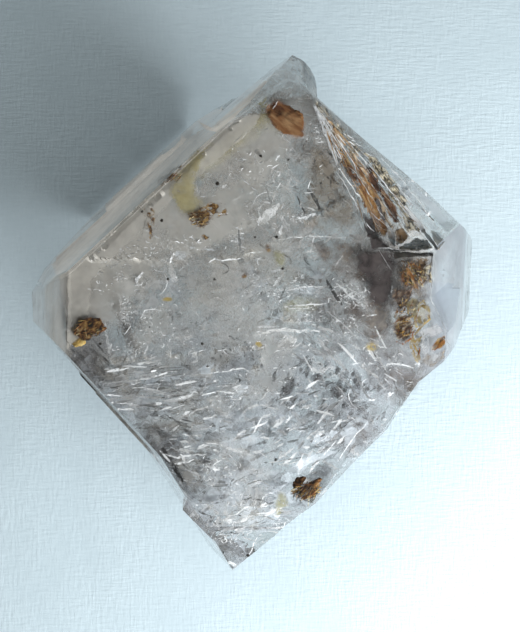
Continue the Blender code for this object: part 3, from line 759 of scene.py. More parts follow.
def rust_patches():
    """Granular rust under the upper left edge, in the left pocket and near the low end."""
    rust = dict(sink=0.7, tone=RUST_GRAIN, least=0.0, most=1.0, grain=2400.0, fade=0.5)
    patch("rust_blob", [
        (-9.2, 13.3), (-7.8, 13.9), (-6.2, 14.4), (-5.4, 13.5), (-5.7, 12.1), (-6.6, 11.1),
        (-8.3, 11.4), (-8.9, 12.3)
    ], stretch=1.8, turn=20, cut=(0.4, 0.52), **rust)
    patch("rust_chain", [
        (-6.6, 14.6), (-5.2, 15.1), (-3.3, 14.6), (-3.1, 13), (-4.7, 12.6), (-6.1, 12.9)
    ], stretch=1.4, cut=(0.46, 0.55), **rust)
    patch("rust_dot", [(-7.5, 10.4), (-5.8, 10.7), (-5.5, 9.7), (-6.6, 9.4)], cut=(0.44, 0.54), **rust)
    patch("rust_edge", [
        (-13.6, 17.4), (-12.8, 18.6), (-11.1, 19.9), (-9.4, 20.5), (-9.7, 19.5), (-11.1, 18.2),
        (-12.5, 16.8)
    ], stretch=2, turn=45, cut=(0.4, 0.53), **rust)
    patch("rust_left_dots", [
        (-15.6, 14), (-13.8, 14.4), (-13.2, 13), (-14.8, 12.6)
    ], cut=(0.48, 0.56), **rust)
    patch("rust_left_streak", [
        (-14.5, 12.9), (-13.4, 13.2), (-13.6, 10.7), (-13.8, 9.3), (-14.6, 9.5)
    ], stretch=2, turn=-80, cut=(0.45, 0.55), **rust)
    clay = dict(sink=0.6, tone=CLAY_GRAIN, least=0.75, most=1.0, grain=1700.0, fade=0.4)
    patch("pocket_crust", [
        (-24.8, -3.1), (-24, -1.7), (-22.6, -1.1), (-20.8, -1.7), (-20.5, -3.1), (-21.8, -3.8),
        (-22.6, -4.6), (-24, -4.6)
    ], stretch=1.6, turn=25, cut=(0.36, 0.5), **clay)
    patch("low_crust", [
        (6, -25.6), (6.8, -24.5), (7.9, -24.6), (9.7, -24.1), (9.7, -24.9), (8.6, -26), (7.2, -27),
        (6.4, -26.6)
    ], stretch=2.6, turn=38, cut=(0.44, 0.52), **{**clay, "least": 0.3})


def rust_feathers():
    """Fine needles of rust round the granular spots."""
    lean = (-50.0, 50.0)
    spots = [
        (7.6, -25.5, 1.9, 1.1, (0.4, 1.4), 38, 28, 90, (0.5, 2.2), (0.05, 0.2), lean),
        (-22.9, -2.9, 1.9, 1.3, (0.4, 1.4), 30, 50, 90, (0.4, 1.6), (0.05, 0.2), lean),
        (-7.1, 12.5, 1.5, 1, (0.4, 1.2), 20, 30, 50, (0.3, 1.2), (0.04, 0.15), lean),
        (-11.7, 18.4, 1.9, 0.5, (0.4, 1.2), 45, 12, 50, (0.3, 1.6), (0.04, 0.14), lean),
        (22.5, 4.4, 1.6, 1.8, (0.5, 1.4), -66, 40, 90, (0.4, 1.8), (0.04, 0.18), lean),
        (21.4, -1.4, 1.6, 2.6, (0.5, 1.4), 40, 40, 90, (0.4, 1.4), (0.04, 0.16), lean),
    ]
    shards("rust_needles", flake_material("rust_needle", RUST, 1, 0.3, 0.5), spots)
    shards("dark_needles", flake_material("dark_needle", BLACK, 0.95, 0.36, 0.54), spots)
    shards("gold_needles", flake_material("gold_needle", AMBER, 1, 0.36, 0.54), spots)


def smoky_zones():
    """Grey-brown smoky clouds, as stacked dark films."""
    deep = [(0.3, (0.05, 0.042, 0.044)), (0.65, (0.11, 0.095, 0.095))]
    warm = [(0.3, (0.1, 0.075, 0.065)), (0.65, (0.24, 0.19, 0.165))]
    films = [
        ("smoke_right_low", (18, 3.4), 7, (4.2, 5), 10, 12, deep, 0.7),
        ("smoke_right_wide", (16.9, 6.5), 9, (7.2, 5.4), 0, 8, warm, 0.62),
        ("smoke_lower_left", (-11.7, -17.9), 5, (3.4, 4.2), 35, 8, warm, 0.72),
        ("smoke_lower_left_edge", (-9.2, -22.4), 5, (2.4, 4.8), 35, 8, deep, 0.62),
        ("smoke_left_low", (-22.3, -7.5), 5, (2.2, 3.4), 42, 8, warm, 0.62),
        ("smoke_left_side", (-22.9, 2.5), 8, (2.6, 5), 0, 8, warm, 0.4),
        ("smoke_patch_a", (5, -11.2), 2.2, (0.9, 1.9), -24, 8, deep, 0.78),
        ("smoke_patch_b", (9, -9.6), 2.2, (1.1, 0.8), 10, 8, deep, 0.72),
        ("smoke_patch_c", (11.8, -11.6), 2.6, (1.2, 1.2), 30, 8, deep, 0.66),
        ("smoke_patch_d", (14.6, -9.8), 2.6, (0.9, 1.4), 20, 8, deep, 0.55),
        ("smoke_right", (18, 3.9), 4, (3.6, 5), 6, 8, deep, 0.8),
        ("smoke_middle", (11.7, 1.1), 4.5, (5, 6.5), 20, 8, warm, 0.45),
        ("smoke_right_body", (19.4, -8), 4.5, (5, 6), 30, 8, warm, 0.68),
        ("smoke_low_right", (13.1, -15.7), 4.5, (6, 5), 45, 8, warm, 0.52),
        ("smoke_scoop_edge", (9.3, -24.1), 2.5, (1.8, 4), -45, 8, deep, 0.6),
        ("smoke_patch_e", (11.3, -5.2), 4, (2.6, 1.6), 10, 8, warm, 0.5),
        ("smoke_patch_f", (6.8, 22.1), 4, (2, 1.6), 10, 8, warm, 0.35),
        ("smoke_middle_low", (-3.7, -7.5), 2.5, (2.6, 1.4), 0, 8, deep, 0.5),
    ]
    stained_films([(*row, (0.2, 0.55)) for row in films], soft=0.55, ragged=0.5, grain=300.0)


def patch_material(name, tone, least, most, grain, stretch, turn, cut):
    """A stained or smoky crack: grainy, with streaks along one direction and a faded rim."""
    material, tree = new_material(name)
    place = coords(tree, turn=(0.0, 0.0, -math.radians(turn)), scale=(1.0 / stretch, 1.0, 1.0))
    streaks = clouds(tree, place, grain, 4.0, 0.62, 0.5)
    cloudy = span(tree, clouds(tree, place, grain * 0.6, 3.0, 0.6), *cut, least, most)
    inner = add(tree, "ShaderNodeAttribute", attribute_name="inner").outputs["Fac"]
    ragged = maths(tree, "SUBTRACT", clouds(tree, place, 1400.0, 3.0, 0.6), 0.5)
    rim = span(tree, maths(tree, "MULTIPLY_ADD", ragged, 0.9, inner), 0.15, 0.85)
    return finish(material, Surface=principled(tree, ramp(tree, streaks, tone), 0.6,
                                               Alpha=maths(tree, "MULTIPLY", cloudy, rim)))


def patch(name, corners, sink, tone, least, most, grain=1200.0, stretch=1.0, turn=0.0,
          cut=(0.35, 0.6), fade=0.4):
    """A crack that follows the surface at a small depth, bounded by the corners."""
    bm = bmesh.new()
    inner = bm.verts.layers.float.new("inner")
    finest = min(PATCH_STEP, max(0.3, fade) * MM)
    rim = []
    for (x, y), (next_x, next_y) in zip(corners, corners[1:] + corners[:1]):
        start, end = Vector((x, y, 0.0)) * MM, Vector((next_x, next_y, 0.0)) * MM
        steps = max(1, round((end - start).length / finest))
        for step in range(steps):
            spot = start.lerp(end, step / steps)
            rim.append(spot + PATCH_WOBBLE * noise.noise_vector(spot * 700.0))
    bm.faces.new([bm.verts.new((spot.x, spot.y, 0.0)) for spot in rim])
    bmesh.ops.triangulate(bm, faces=bm.faces[:])
    for _ in range(6):
        long_edges = [edge for edge in bm.edges if edge.calc_length() > 1.5 * finest]
        if not long_edges:
            break
        bmesh.ops.subdivide_edges(bm, edges=long_edges, cuts=1)
        bmesh.ops.triangulate(bm, faces=bm.faces[:])
    outside = []
    for vert in bm.verts:
        edge = min((vert.co - spot).length for spot in rim)
        vert[inner] = min(1.0, edge / (fade * MM))
        place = below(vert.co.x, vert.co.y, sink * MM)
        if depth_inside(place) < INSIDE:
            outside.append(vert)
        else:
            vert.co = place
    bmesh.ops.delete(bm, geom=outside, context="VERTS")
    inside_piece(name, bm, patch_material(name, tone, least, most, grain, stretch, turn, cut),
                 smooth=True)


def sheet_material(name, tone, most):
    """A thin milky sheet: half of its light is scattered back, and half comes from behind."""
    material, tree = new_material(name)
    patchy = clouds(tree, coords(tree, scale=(1.0, 1.0, 0.2)), 200.0, 3.0, 0.6, 0.8)
    colour = ramp(tree, clouds(tree, coords(tree), 350.0, 2.0), tone)
    through = add(tree, "ShaderNodeBsdfTranslucent", {"Color": colour}).outputs[0]
    milky = add(tree, "ShaderNodeMixShader", {0: 0.5, 1: principled(tree, colour, 0.6),
                                              2: through}).outputs[0]
    clear = add(tree, "ShaderNodeBsdfTransparent").outputs[0]
    up = add(tree, "ShaderNodeSeparateXYZ", {"Vector": coords(tree)}).outputs["Z"]
    under_edge = span(tree, up, HEIGHT, HEIGHT - 4.0 * MM, 0.25, 1.0)
    share = maths(tree, "MULTIPLY", span(tree, patchy, 0.28, 0.60, 0.8 * most, most), under_edge)
    return finish(material, Surface=add(tree, "ShaderNodeMixShader", {
        0: share, 1: clear, 2: milky}).outputs[0])


def side_sheets():
    """Milky sheets close under the flat side faces, each named by a place on its face."""
    sheets = [
        # name, place on the face, depth, end towards +Y, tone, most
        ("sheet_upper_left", (-14.2, 18.2), 0.6, 40, BAND_MILK, 0.95),
        ("sheet_left", (-29.3, 1.1), 0.6, 40, BAND_MILK, 0.85),
        ("sheet_left_upper", (-27.1, 1.1), 0.6, 40, BAND_MILK, 0.75),
        ("sheet_prism", (27.8, 6.2), 0.7, 40, PALE, 0.88),
        # painted light: a brighter pale tone on the sheet under the prism face's low facet, which the
        # window lights less
        ("sheet_prism_notch_painted_light", (27.8, 0.4), 0.6, 3.6, PALE_PAINTED_LIGHT, 0.8),
    ]
    for name, (x, y), depth, end, tone, most in sheets:
        ray, place, normal = sight(x * MM, y * MM)
        bm = bmesh.new()
        section(bm, place - depth * MM * normal, normal, SHEET_SHRINK, 0.0, 0.0)
        bmesh.ops.bisect_plane(bm, geom=bm.verts[:] + bm.edges[:] + bm.faces[:],
                               plane_co=(0.0, end * MM, 0.0), plane_no=(0.0, 1.0, 0.0),
                               clear_outer=True)
        sheet = inside_piece(name, bm, sheet_material(name, tone, most))
        sheet.visible_shadow = x < 0.0


def yellow_veils():
    """The olive hook and the faint haze that runs from it along the upper left edge."""
    patch("olive_hook", [
        (-4.1, 24.1), (-6.1, 21), (-7.3, 18.2), (-7.2, 16), (-5.8, 15.1), (-6.1, 11.8), (-8.6, 11.8),
        (-10.7, 13.7), (-11.8, 16), (-11.4, 18.8), (-8.9, 21.3), (-6.4, 23.4)
    ], 0.9, OLIVE_VEIL, 0.25, 0.75, 350, cut=(0.3, 0.58), fade=1.4)
    patch("olive_haze", [
        (-10.6, 19.3), (-4.1, 24.8), (1.5, 28.2), (4, 28.9), (2, 23.5), (-1.6, 21.4), (-5.2, 18.5),
        (-7.8, 16)
    ], 1.2, OLIVE_VEIL, 0.1, 0.4, 300, fade=1.8)


def milky_veils():
    """Pale veils just under the surface of the upper left half and the clear sides."""
    patch("veil_front_edge", [
        (-25.5, 5.1), (-14.2, 16.4), (-4, 24.9), (0.4, 27.6), (1.5, 27.2), (0.9, 25.5), (-1.6, 23.3),
        (-11.7, 14.3), (-22.3, 3.7), (-22.9, -3.1), (-25.7, -5.9)
    ], 1, WARM_MILK, 0.45, 0.75, 300, fade=0.3)
    patch("veil_front_upper", [
        (-25.4, 4.6), (-14.2, 16.4), (-4.1, 24.9), (1.8, 28.3), (5.4, 23.5), (6.8, 13), (-1.6, 10.1),
        (-8.6, 6.5), (-18.4, -3.1), (-25.1, -5.2)
    ], 1.6, WARM_MILK, 0.15, 0.5, 250, fade=1.5)
    patch("veil_front_lower", [
        (-24.8, -5.2), (-18.4, -3.1), (-8.6, 6.5), (-1.6, 10.1), (5.4, 10.9), (8.2, 1.1), (5.4, -15.7),
        (1.2, -32.5), (-7.2, -28.3), (-14.2, -18.5)
    ], 2.4, WARM_MILK, 0, 0.3, 250, fade=2)
    patch("veil_upper_right", [
        (18, 21.3), (19.7, 20), (27.2, 10.1), (26, 9.4), (24.2, 11.8), (20.8, 16.5)
    ], 0.6, PALE, 0.1, 0.5, 400, fade=0.5)
    patch("veil_upper_right_edge", [
        (11, 27.7), (14.1, 25.5), (19.1, 20.5), (27, 14), (29.2, 12.1), (27.2, 10.4), (19.7, 20),
        (13.8, 25.2)
    ], 0.5, PALE, 0, 0.45, 500, 2, -45, fade=0.4)


def fan_patches():
    """Stained and smoky cracks under the fan of ledges."""
    along = -57.0
    patch("fan_gold_wedge", [
        (14.8, 17.4), (16.2, 17.4), (17.4, 16), (17.6, 14.7), (18.1, 12.3), (18.8, 11.4), (19.3, 10.1),
        (18.3, 10.2), (17.3, 11.6), (15.8, 14), (14.9, 15.7)
    ], 0.9, GOLD, 0.85, 1, 900, 2.5, along, fade=0.3)
    patch("fan_rust_specks", [
        (11.7, 22.7), (12.7, 22.6), (13.8, 20.5), (14.9, 18.2), (15.2, 17), (14.1, 17.4), (13.1, 19.1),
        (12.1, 20.7)
    ], 0.9, RED, 0, 1, 2200, 1.5, along, (0.42, 0.55), fade=0.3)
    patch("fan_gold_head", [
        (10.2, 25.5), (11.7, 25.4), (13.1, 23.5), (13.2, 21.9), (12, 22.7), (10.7, 23.5)
    ], 0.9, OLIVE_GOLD, 0.3, 0.95, 1200, 2, along)
    patch("fan_smoke_wedge", [
        (15.6, 13.9), (17.4, 11.5), (18.6, 10), (19.8, 8.4), (20, 7.9), (16.7, 7.9), (16, 10.7)
    ], 1.2, VIOLET, 0.85, 0.97, 500, fade=0.35)
    patch("fan_tan_band", [
        (13.8, 21.9), (15.1, 20.5), (16.6, 17.7), (18.1, 15.4), (19.1, 13), (20.2, 11.4), (20.4, 10.5),
        (19.1, 11.5), (18.1, 13.7), (16.9, 16), (15.3, 17.9), (14.1, 19.9)
    ], 0.8, TAN_BAND, 0.3, 1, 1600, 4, along, fade=0.3)
    patch("fan_dark_bar", [
        (16, 19.8), (17.2, 19.5), (17.9, 17.5), (19.1, 16), (20.1, 13.9), (20.8, 12.1), (20.1, 11.6),
        (19.3, 12.8), (18.4, 14.9), (17.2, 16.8), (16.3, 18.1)
    ], 0.6, RED, 0.95, 1, 1100, 5, -62, fade=0.15)
    patch("fan_grey_lens", [
        (17.3, 15), (18, 15.3), (18.8, 12.8), (18.7, 11.6), (17.9, 12.6)
    ], 0.5, VIOLET, 0.85, 0.97, fade=0.15)
    patch("fan_white_wedge", [
        (18.8, 11.1), (20.1, 10.8), (20.5, 10.1), (20, 8.4), (19.4, 9.5)
    ], 0.4, TAN_WHITE, 0.9, 1, 1200, 3, -65, fade=0.12)
    patch("fan_tan_block", [
        (20.2, 10.8), (21.6, 11.2), (22.1, 10), (20.9, 9.1), (20.2, 8.8)
    ], 0.6, TAN_BAND, 0.7, 1, 1600, fade=0.2)
    patch("fan_pepper_band", [
        (14.9, 22.1), (17.7, 21), (21.6, 15.4), (23.9, 10.4), (21.9, 10.4), (20.7, 13), (19.1, 16.3),
        (16.9, 19.6)
    ], 0.6, PEPPER, 0.75, 1, 2400, 1.8, along)
    patch("fan_black_wedge", [
        (20.1, 8.3), (21.1, 9.1), (22.8, 9.8), (24.4, 9.8), (25.3, 8.3), (22.9, 8)
    ], 0.6, PEPPER, 0.9, 1, 1900, fade=0.15)
    # a real taupe stain, its tone lightened as painted light against the shade it lies in
    patch("fan_taupe_corner", [
        (24.9, 11.1), (27, 9.8), (26.1, 8), (25.3, 9.3)
    ], 0.6, TAUPE_PAINTED_LIGHT, 0.75, 0.9, 900, fade=0.3)
    patch("fan_window", [
        (9.3, 23.5), (12, 19.6), (14.2, 15.4), (15.2, 11.5), (11.7, 10.1), (6.8, 10.9), (6, 16.5),
        (7.4, 22.1)
    ], 2.6, TAUPE, 0.15, 0.52, 400, fade=1.4)
    patch("fan_upper_grain", [
        (8.5, 29.4), (10.4, 28.3), (12.4, 25.8), (14.1, 23.5), (15.5, 22.1), (14.6, 20.7), (12.4, 22.7),
        (9.9, 25.8)
    ], 0.5, PEPPER, 0, 0.75, 2400, 2, along)


def oval_patches():
    """The soft stained rim and streaks of the brown oval."""
    patch("oval_rim", [
        (1.5, 28.2), (1.9, 29), (2.9, 29.4), (4.1, 29.3), (5.4, 28.7), (6.5, 27.7), (7.4, 26.5),
        (7.8, 25.2), (7.6, 24.1), (6.9, 23.4), (5.8, 23.4), (4.6, 24), (3.3, 24.9), (2.2, 26.3),
        (1.6, 27.3)
    ], 1, OVAL, 0.55, 1, 900, 3, -35, (0.38, 0.54), fade=0.9)
    patch("oval_olive_rim", [
        (0.6, 28.6), (1.8, 29.7), (3.4, 29.7), (2.3, 28.6), (1.8, 27.2), (2.6, 25.5), (1.5, 26.3)
    ], 1.3, OLIVE_VEIL, 0.5, 1, 500, fade=0.8)


def right_patches():
    """The dark block under the fan and the stained cracks beside it."""
    patch("block_shadow_line", [
        (19.8, 7.9), (25.3, 7.9), (25.3, 7), (22.5, 7), (20, 6.7)
    ], 0.5, BLACK, 0.9, 1, fade=0.2)
    patch("block_smoke", [
        (14.1, 7.9), (16.3, 8), (20, 8), (20.5, 6.3), (20, 4.4), (19.7, 1.8), (18.6, 0.3), (16.7, 0),
        (16, 2.1), (15.8, 3.9), (14.1, 5.3)
    ], 1.5, VIOLET, 0.6, 0.97, 700, cut=(0.3, 0.55), fade=0.9)
    patch("block_smoke_left", [
        (7.6, 9.5), (11, 10.1), (18.3, 8.3), (18, 6.5), (16.9, 5.1), (16.3, 2.3), (13.1, 3.4),
        (9.3, 5.3)
    ], 2.4, UMBER, 0.2, 0.72, 500, fade=1.6)
    patch("block_smoke_low", [
        (16, 2.8), (19.7, 0.7), (20, -3.1), (16.9, -5.3), (12.1, -3.3), (12.7, 1.1)
    ], 3, UMBER, 0.2, 0.75, 500, fade=1.6)
    patch("block_back", [
        (19.8, 7.7), (25.3, 7.7), (25.1, 1.1), (23.3, 0), (20.2, -1.1), (18.8, 0.3), (19.7, 3.9)
    ], 1.9, UMBER, 0.2, 0.7, 900, fade=0.8)
    patch("block_grain", [
        (20.8, 6.5), (23.3, 7), (25.1, 6.7), (25.3, 3.8), (24.2, 3), (23.2, 2.4), (22.1, 3), (21.2, 3.9)
    ], 1, BROWN_GRAIN, 0.1, 1, 1300, 1.4, 60, (0.4, 0.56), fade=0.4)
    patch("block_rim", [
        (24, 5.6), (25.3, 6.5), (25.3, 3.1), (24.6, 3.4)
    ], 0.6, PEPPER, 0, 1, 2400, cut=(0.45, 0.52), fade=0.2)
    patch("amber_streak", [
        (21.4, 5.6), (21.9, 5.8), (22.6, 4.5), (23.3, 2.8), (22.9, 2.4), (22.1, 3.8)
    ], 0.7, AMBER_STREAK, 0.85, 1, 1100, 2.5, -66, fade=0.3)
    patch("brown_neck", [
        (19.3, 2.8), (22.3, 3.1), (23, 2.1), (22.2, 0.4), (20.2, -1), (19.3, 1.1)
    ], 1, RED_BROWN, 0.45, 1, 2000, 1.6, 45, fade=0.8)
    patch("neck_grain", [
        (21.4, 0.6), (22.3, 1.6), (23.5, 1.4), (23.5, 0.2), (22.8, -1.7), (21.5, -1.4)
    ], 0.9, OLIVE_GRAIN, 0.4, 1, 2000, fade=0.4)
    patch("barrel", [
        (19.8, -1.1), (20.8, -0.5), (21.9, -0.8), (22.6, -1.9), (22.8, -3.1), (22.1, -4.5), (21.1, -5),
        (20, -4.5), (19.5, -3.1)
    ], 0.9, CREAM_STROKES, 0.65, 1, 2600, 2.4, 28, (0.25, 0.45), fade=0.8)
    patch("barrel_veil", [
        (18.8, -1.4), (20.4, -0.1), (21.1, -0.7), (19.8, -1.9), (19.4, -3.9), (18.8, -3.6)
    ], 0.8, OLIVE_GRAIN, 0, 0.7, 1200, fade=0.6)
    patch("amber_upper", [
        (23.3, 0.3), (24.2, 1.1), (25.1, -0.3), (25, -1.4), (23.9, -2.5), (22.9, -2.4), (22.8, -1.1)
    ], 0.8, OLIVE_GOLD, 0.35, 0.95, 900, cut=(0.4, 0.55), fade=0.5)
    patch("lilac_patch", [
        (23.6, -2.9), (25.6, -1.8), (27.2, -3.3), (25.1, -4.2), (23.7, -3.9)
    ], 0.8, MILK, 0.2, 0.75, 900)
    patch("amber_right", [
        (25, -6), (25, -5), (26, -4), (27.2, -3.5), (27.2, -4.6), (26.4, -5.6)
    ], 0.7, RUST_GOLD, 0.6, 1, 1000, 1.6, 40, fade=0.35)
    patch("amber_lower", [
        (22.3, -4.5), (23.7, -3.9), (23.5, -5.6), (23.6, -7.4), (22.9, -7.5), (22.3, -6.1)
    ], 0.8, OLIVE_GOLD, 0.2, 0.9, 1000, cut=(0.42, 0.56))
    patch("grey_corner", [
        (23.7, -7.5), (24.2, -6.1), (25.6, -6.1), (27.2, -5.3), (27.1, -6.8), (25, -8.4)
    ], 1, TAUPE, 0.2, 0.7, 900)
    ribbons("amber_rims", flake_material("amber_rim", AMBER, 1, 0.36, 0.56), [
        ([(24.2, 1.1), (23.3, 0.3), (22.8, -1.1), (22.9, -2.4), (23.7, -2.5), (25, -1.5), (24.4, -0.8)],
         0.6, 0.6, 10),
        ([(25, -1.5), (23.7, -2.5), (22.6, -3.8), (22.2, -5), (22.6, -6.7), (23.2, -7.5)],
         0.6, 0.7, 10),
        ([(23.9, -4), (22.9, -4.2), (22.5, -5), (23.2, -6), (23.5, -7.1)], 0.7, 0.5, 10),
    ])
    ribbons("red_rims", flake_material("red_rim", RUST, 1, 0.34, 0.54), [
        ([(24.2, -0.7), (24.7, -0.8), (25, -1.5)], 0.5, 0.35, 10),
        ([(23.3, 0), (23, -0.8), (23, -1.9)], 0.5, 0.35, 10),
        ([(25.3, -5.9), (26.1, -5.3), (27, -4.5), (27.2, -3.8)], 0.5, 0.4, 10),
        ([(20.2, -4.6), (21.2, -4.9), (22.2, -4.2), (22.6, -3.1)], 0.6, 0.45, 10),
        ([(23, -6.7), (23.5, -6), (23.5, -5.4)], 0.6, 0.3, 10),
    ])


def clay_lumps():
    """Solid inclusions of brown clay."""
    brown = [(0.3, (0.045, 0.018, 0.008)), (0.5, (0.14, 0.055, 0.02)), (0.75, (0.4, 0.22, 0.09))]
    oval = [(0.3, (0.15, 0.055, 0.02)), (0.52, (0.33, 0.135, 0.044)), (0.8, (0.58, 0.31, 0.13))]
    dark = [(0.3, (0.02, 0.009, 0.005)), (0.5, (0.075, 0.028, 0.01)), (0.75, (0.3, 0.14, 0.05))]
    gold = [(0.25, (0.3, 0.14, 0.03)), (0.5, (0.6, 0.38, 0.1)), (0.8, (0.85, 0.66, 0.28))]
    lumps = [
        ("clay_oval", (4.8, 26.3), 1.8, (2.8, 1.95, 0.6), -30, 4, oval, 0.12),
        ("clay_pocket_dark", (-22.7, -2.2), 1.6, (1.9, 0.95, 0.6), 14, 5, dark, 0.5),
        ("clay_pocket_edge", (-21.3, -3.1), 1.4, (0.9, 0.45, 0.4), 20, 5, dark, 0.5),
        ("clay_pocket_orange", (-24, -3.2), 1.5, (1.05, 1, 0.6), 30, 5, brown, 0.5),
        ("clay_pocket_gold", (-24, -4.6), 1.7, (0.95, 0.85, 0.4), 0, 5, gold, 0.3),
        ("clay_low_left", (6.5, -24.3), 1.4, (0.9, 0.6, 0.4), 35, 5, dark, 0.5),
        ("clay_low_right", (8.3, -24.6), 1.4, (1.3, 0.35, 0.4), 28, 5, dark, 0.5),
    ]
    for name, place, depth, radii, heading, tilt, tone, rough in lumps:
        sizes = [radius * MM for radius in radii]
        pebble(name, under(place, depth), sizes, heading, tilt, clay_material(name, tone), rough)


def specks():
    """Small black mineral grains."""
    places = [
        (-5.2, 4.2), (-6.9, -5), (-6.2, -8.1), (3.4, -21.1), (-15.2, 13.5), (-21.8, -3.2), (-21.1, -5),
        (1.3, 21.2), (5.1, 20.7), (3.4, 10.1), (-11.7, 4.1), (-14.3, -2.6), (-12.5, 12.3), (-4.7, 17.4),
        (-23, -0.5), (4.3, 5.6), (21.5, 14.4), (0.4, 10.1), (9.6, 17.5), (-0.6, -34.6), (-1.6, -28.7)
    ]
    bm = bmesh.new()
    for place in places:
        grain = bmesh.ops.create_icosphere(bm, subdivisions=2,
                                           radius=random.uniform(0.12, 0.26) * MM)
        spot = under(place, random.uniform(0.6, 1.5))
        for vert in grain["verts"]:
            vert.co *= random.uniform(0.75, 1.25)
            vert.co += spot
    inside_piece("black_specks", bm, clay_material("speck_black", [
        (0.3, (0.008, 0.007, 0.006)), (0.7, (0.05, 0.04, 0.03))]), smooth=True)


FAN_APEX = (8.5, 28.9)
FAN_END = 25.0                        # no streaks right of this, in millimetres
# Streaks under the fan of ledges: (directions from the apex, distances, count, widths)
FAN_STREAKS = [
    ("fan_silver", SILVER, 0.95, [
        ((-68, -44), (1, 23), 50, (0.04, 0.14)), ((-68, -54), (0.5, 7), 120, (0.06, 0.26)),
        ((-52, -44), (6, 20), 70, (0.05, 0.2))]),
    ("fan_rust", RUST, 0.9, [
        ((-63, -55), (8, 21), 26, (0.06, 0.22)), ((-57, -52.5), (9, 18), 14, (0.06, 0.22))]),
    ("fan_tan", TAN, 0.9, [
        ((-66, -50), (4, 23), 60, (0.06, 0.22)), ((-56, -46), (8, 22), 24, (0.06, 0.2))]),
    ("fan_gold", GOLD, 0.9, [
        ((-64, -56), (3, 14), 40, (0.06, 0.26)), ((-56, -48), (4, 14), 20, (0.06, 0.2))]),
    ("fan_dark", CHARCOAL, 0.9, [
        ((-66, -46), (4, 23), 60, (0.04, 0.14)), ((-52, -46), (8, 20), 40, (0.05, 0.2))]),
]


def fan_streaks():
    """Fine streaks that spread from the apex of the fan."""
    for name, tone, most, fields in FAN_STREAKS:
        bm = bmesh.new()
        for directions, distances, count, widths in fields:
            for _ in range(count):
                angle = math.radians(random.uniform(*directions))
                start = random.uniform(*distances)
                length = random.uniform(0.6, 3.4)
                drift = random.gauss(0.0, 0.03)
                depth = random.uniform(0.3, 0.8) * MM
                points = []
                for step in range(7):
                    reach = start + length * step / 6.0
                    turn = angle + drift * step / 6.0
                    x = FAN_APEX[0] + reach * math.cos(turn)
                    y = FAN_APEX[1] + reach * math.sin(turn)
                    points.append(below(x * MM, y * MM, depth) if x < FAN_END else None)
                if min(depth_inside(point) for point in points) > 0.15 * MM:
                    add_ribbon(bm, points, random.uniform(*widths) * MM,
                               random.uniform(-50.0, 50.0))
        inside_piece(name, bm, flake_material(name, tone, most, 0.18, 0.45))


# ---------------------------------------------------------------- camera, floor and light

def paper_material():
    """Linen-embossed paper: uneven threads along and across. Its colour is darker where the emboss is
    low, as painted shade, over a random tone.
    """
    material, tree = new_material("linen_paper")
    place = coords(tree)
    rows = clouds(tree, coords(tree, scale=(0.18, 1.0, 1.0)), 2400.0, 2.0, 0.5)
    columns = clouds(tree, coords(tree, scale=(1.0, 0.18, 1.0), shift=(0.3, 0.1, 0.0)), 2400.0,
                     2.0, 0.5)
    height = maths(tree, "MULTIPLY_ADD", columns, 0.8, rows)
    height = maths(tree, "MULTIPLY", height, span(tree, clouds(tree, place, 60.0), 0.3, 0.6, 0.5))
    # painted shade: the colour follows the emboss height, darker in its low threads
    shade = maths(tree, "MULTIPLY_ADD", clouds(tree, place, 900.0), 0.3,
                  maths(tree, "MULTIPLY", height, 0.6))
    colour = ramp(tree, shade, [(0.25, (0.68, 0.80, 0.86)), (0.85, (0.75, 0.87, 0.93))])
    return finish(material, Surface=principled(tree, colour, 0.75,
                                               Normal=bumps(tree, height, 0.11 * MM, 0.7)))


FLOOR_REACH = 1.5                     # half the floor's side, in metres
FLOOR_GAP = 0.05 * MM                 # keeps the floor clear of the crystal's base


def floor():
    bm = bmesh.new()
    bmesh.ops.create_grid(bm, x_segments=2, y_segments=2, size=FLOOR_REACH)
    bmesh.ops.translate(bm, verts=bm.verts[:], vec=(0.0, 0.0, -FLOOR_GAP))
    add_piece("paper_floor", bm, paper_material())


SENSOR = 36.0
PHOTO_ROWS = 632
PIXEL = 0.14 * MM                     # one pixel of the photo, in the plane of the front face


def camera():
    data = bpy.data.cameras.new("camera")
    data.sensor_fit = "VERTICAL"
    data.sensor_height = SENSOR
    data.lens = SENSOR * (CAMERA.z - HEIGHT) / (PHOTO_ROWS * PIXEL)
    data.clip_start = 0.01
    item = bpy.data.objects.new("camera", data)
    item.location = CAMERA
    bpy.context.scene.collection.objects.link(item)
    bpy.context.scene.camera = item


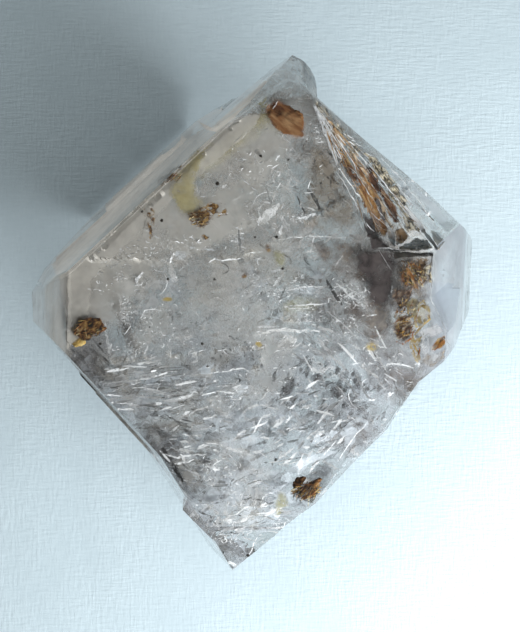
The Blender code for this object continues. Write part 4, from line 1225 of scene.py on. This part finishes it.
def area_light(name, place, size, power, colour):
    """A square lamp that points at the subject and isn't seen itself."""
    data = bpy.data.lights.new(name, "AREA")
    data.shape = "SQUARE"
    data.size = size
    data.energy = power
    data.color = colour
    item = bpy.data.objects.new(name, data)
    item.location = place
    item.rotation_euler = (Vector(place) - Vector(SUBJECT)).to_track_quat("Z", "Y").to_euler()
    item.visible_camera = False
    item.visible_transmission = False
    bpy.context.scene.collection.objects.link(item)
    return item


WINDOW = (0.128, -0.114, 0.088)
ROOM = (-0.12, 0.12, 0.025)
SUBJECT = (0.01, -0.01, 0.0)
WINDOW_SIZE = 0.13
ROOM_SIZE = 0.08
WINDOW_POWER = 0.57                   # lights all but the gloss, which the sheen lamp gives
SHEEN_POWER = 0.14
ROOM_POWER = 0.08
SKY_STRENGTH = 0.212
WINDOW_TINT = (0.94, 0.98, 1.0)
ROOM_TINT = (0.90, 0.97, 1.0)
SKY_TINT = (0.94, 0.975, 0.965)


def light():
    """A window at the lower right, weak light from the room and an even sky."""
    world = bpy.data.worlds.new("soft_sky")
    bpy.context.scene.world = world
    world.use_nodes = True
    sky = world.node_tree.nodes["Background"]
    sky.inputs["Color"].default_value = (*SKY_TINT, 1.0)
    sky.inputs["Strength"].default_value = SKY_STRENGTH
    soft = area_light("window", WINDOW, WINDOW_SIZE, WINDOW_POWER, WINDOW_TINT)
    soft.visible_glossy = False
    area_light("window_sheen", WINDOW, WINDOW_SIZE, SHEEN_POWER, WINDOW_TINT)
    fill = area_light("room_fill", ROOM, ROOM_SIZE, ROOM_POWER, ROOM_TINT)
    fill.visible_glossy = False


def light_paths():
    """Enough bounces for the clear crystal, and no caustics."""
    scene = bpy.context.scene
    scene.view_settings.view_transform = "Standard"
    cycles = scene.cycles
    cycles.max_bounces = 9
    cycles.diffuse_bounces = 2
    cycles.glossy_bounces = 3
    cycles.transmission_bounces = 8
    cycles.transparent_max_bounces = 18
    cycles.caustics_reflective = False
    cycles.caustics_refractive = False


light_paths()
camera()
floor()
light()
crystal_skin()
haze()
general_cracks()
laminar_cracks()
crackle_chains()
crack_edges()
arc_cracks()
iron_stains()
smoky_zones()
milky_veils()
side_sheets()
yellow_veils()
fan_patches()
oval_patches()
right_patches()
rust_patches()
rust_feathers()
clay_lumps()
specks()
fan_streaks()
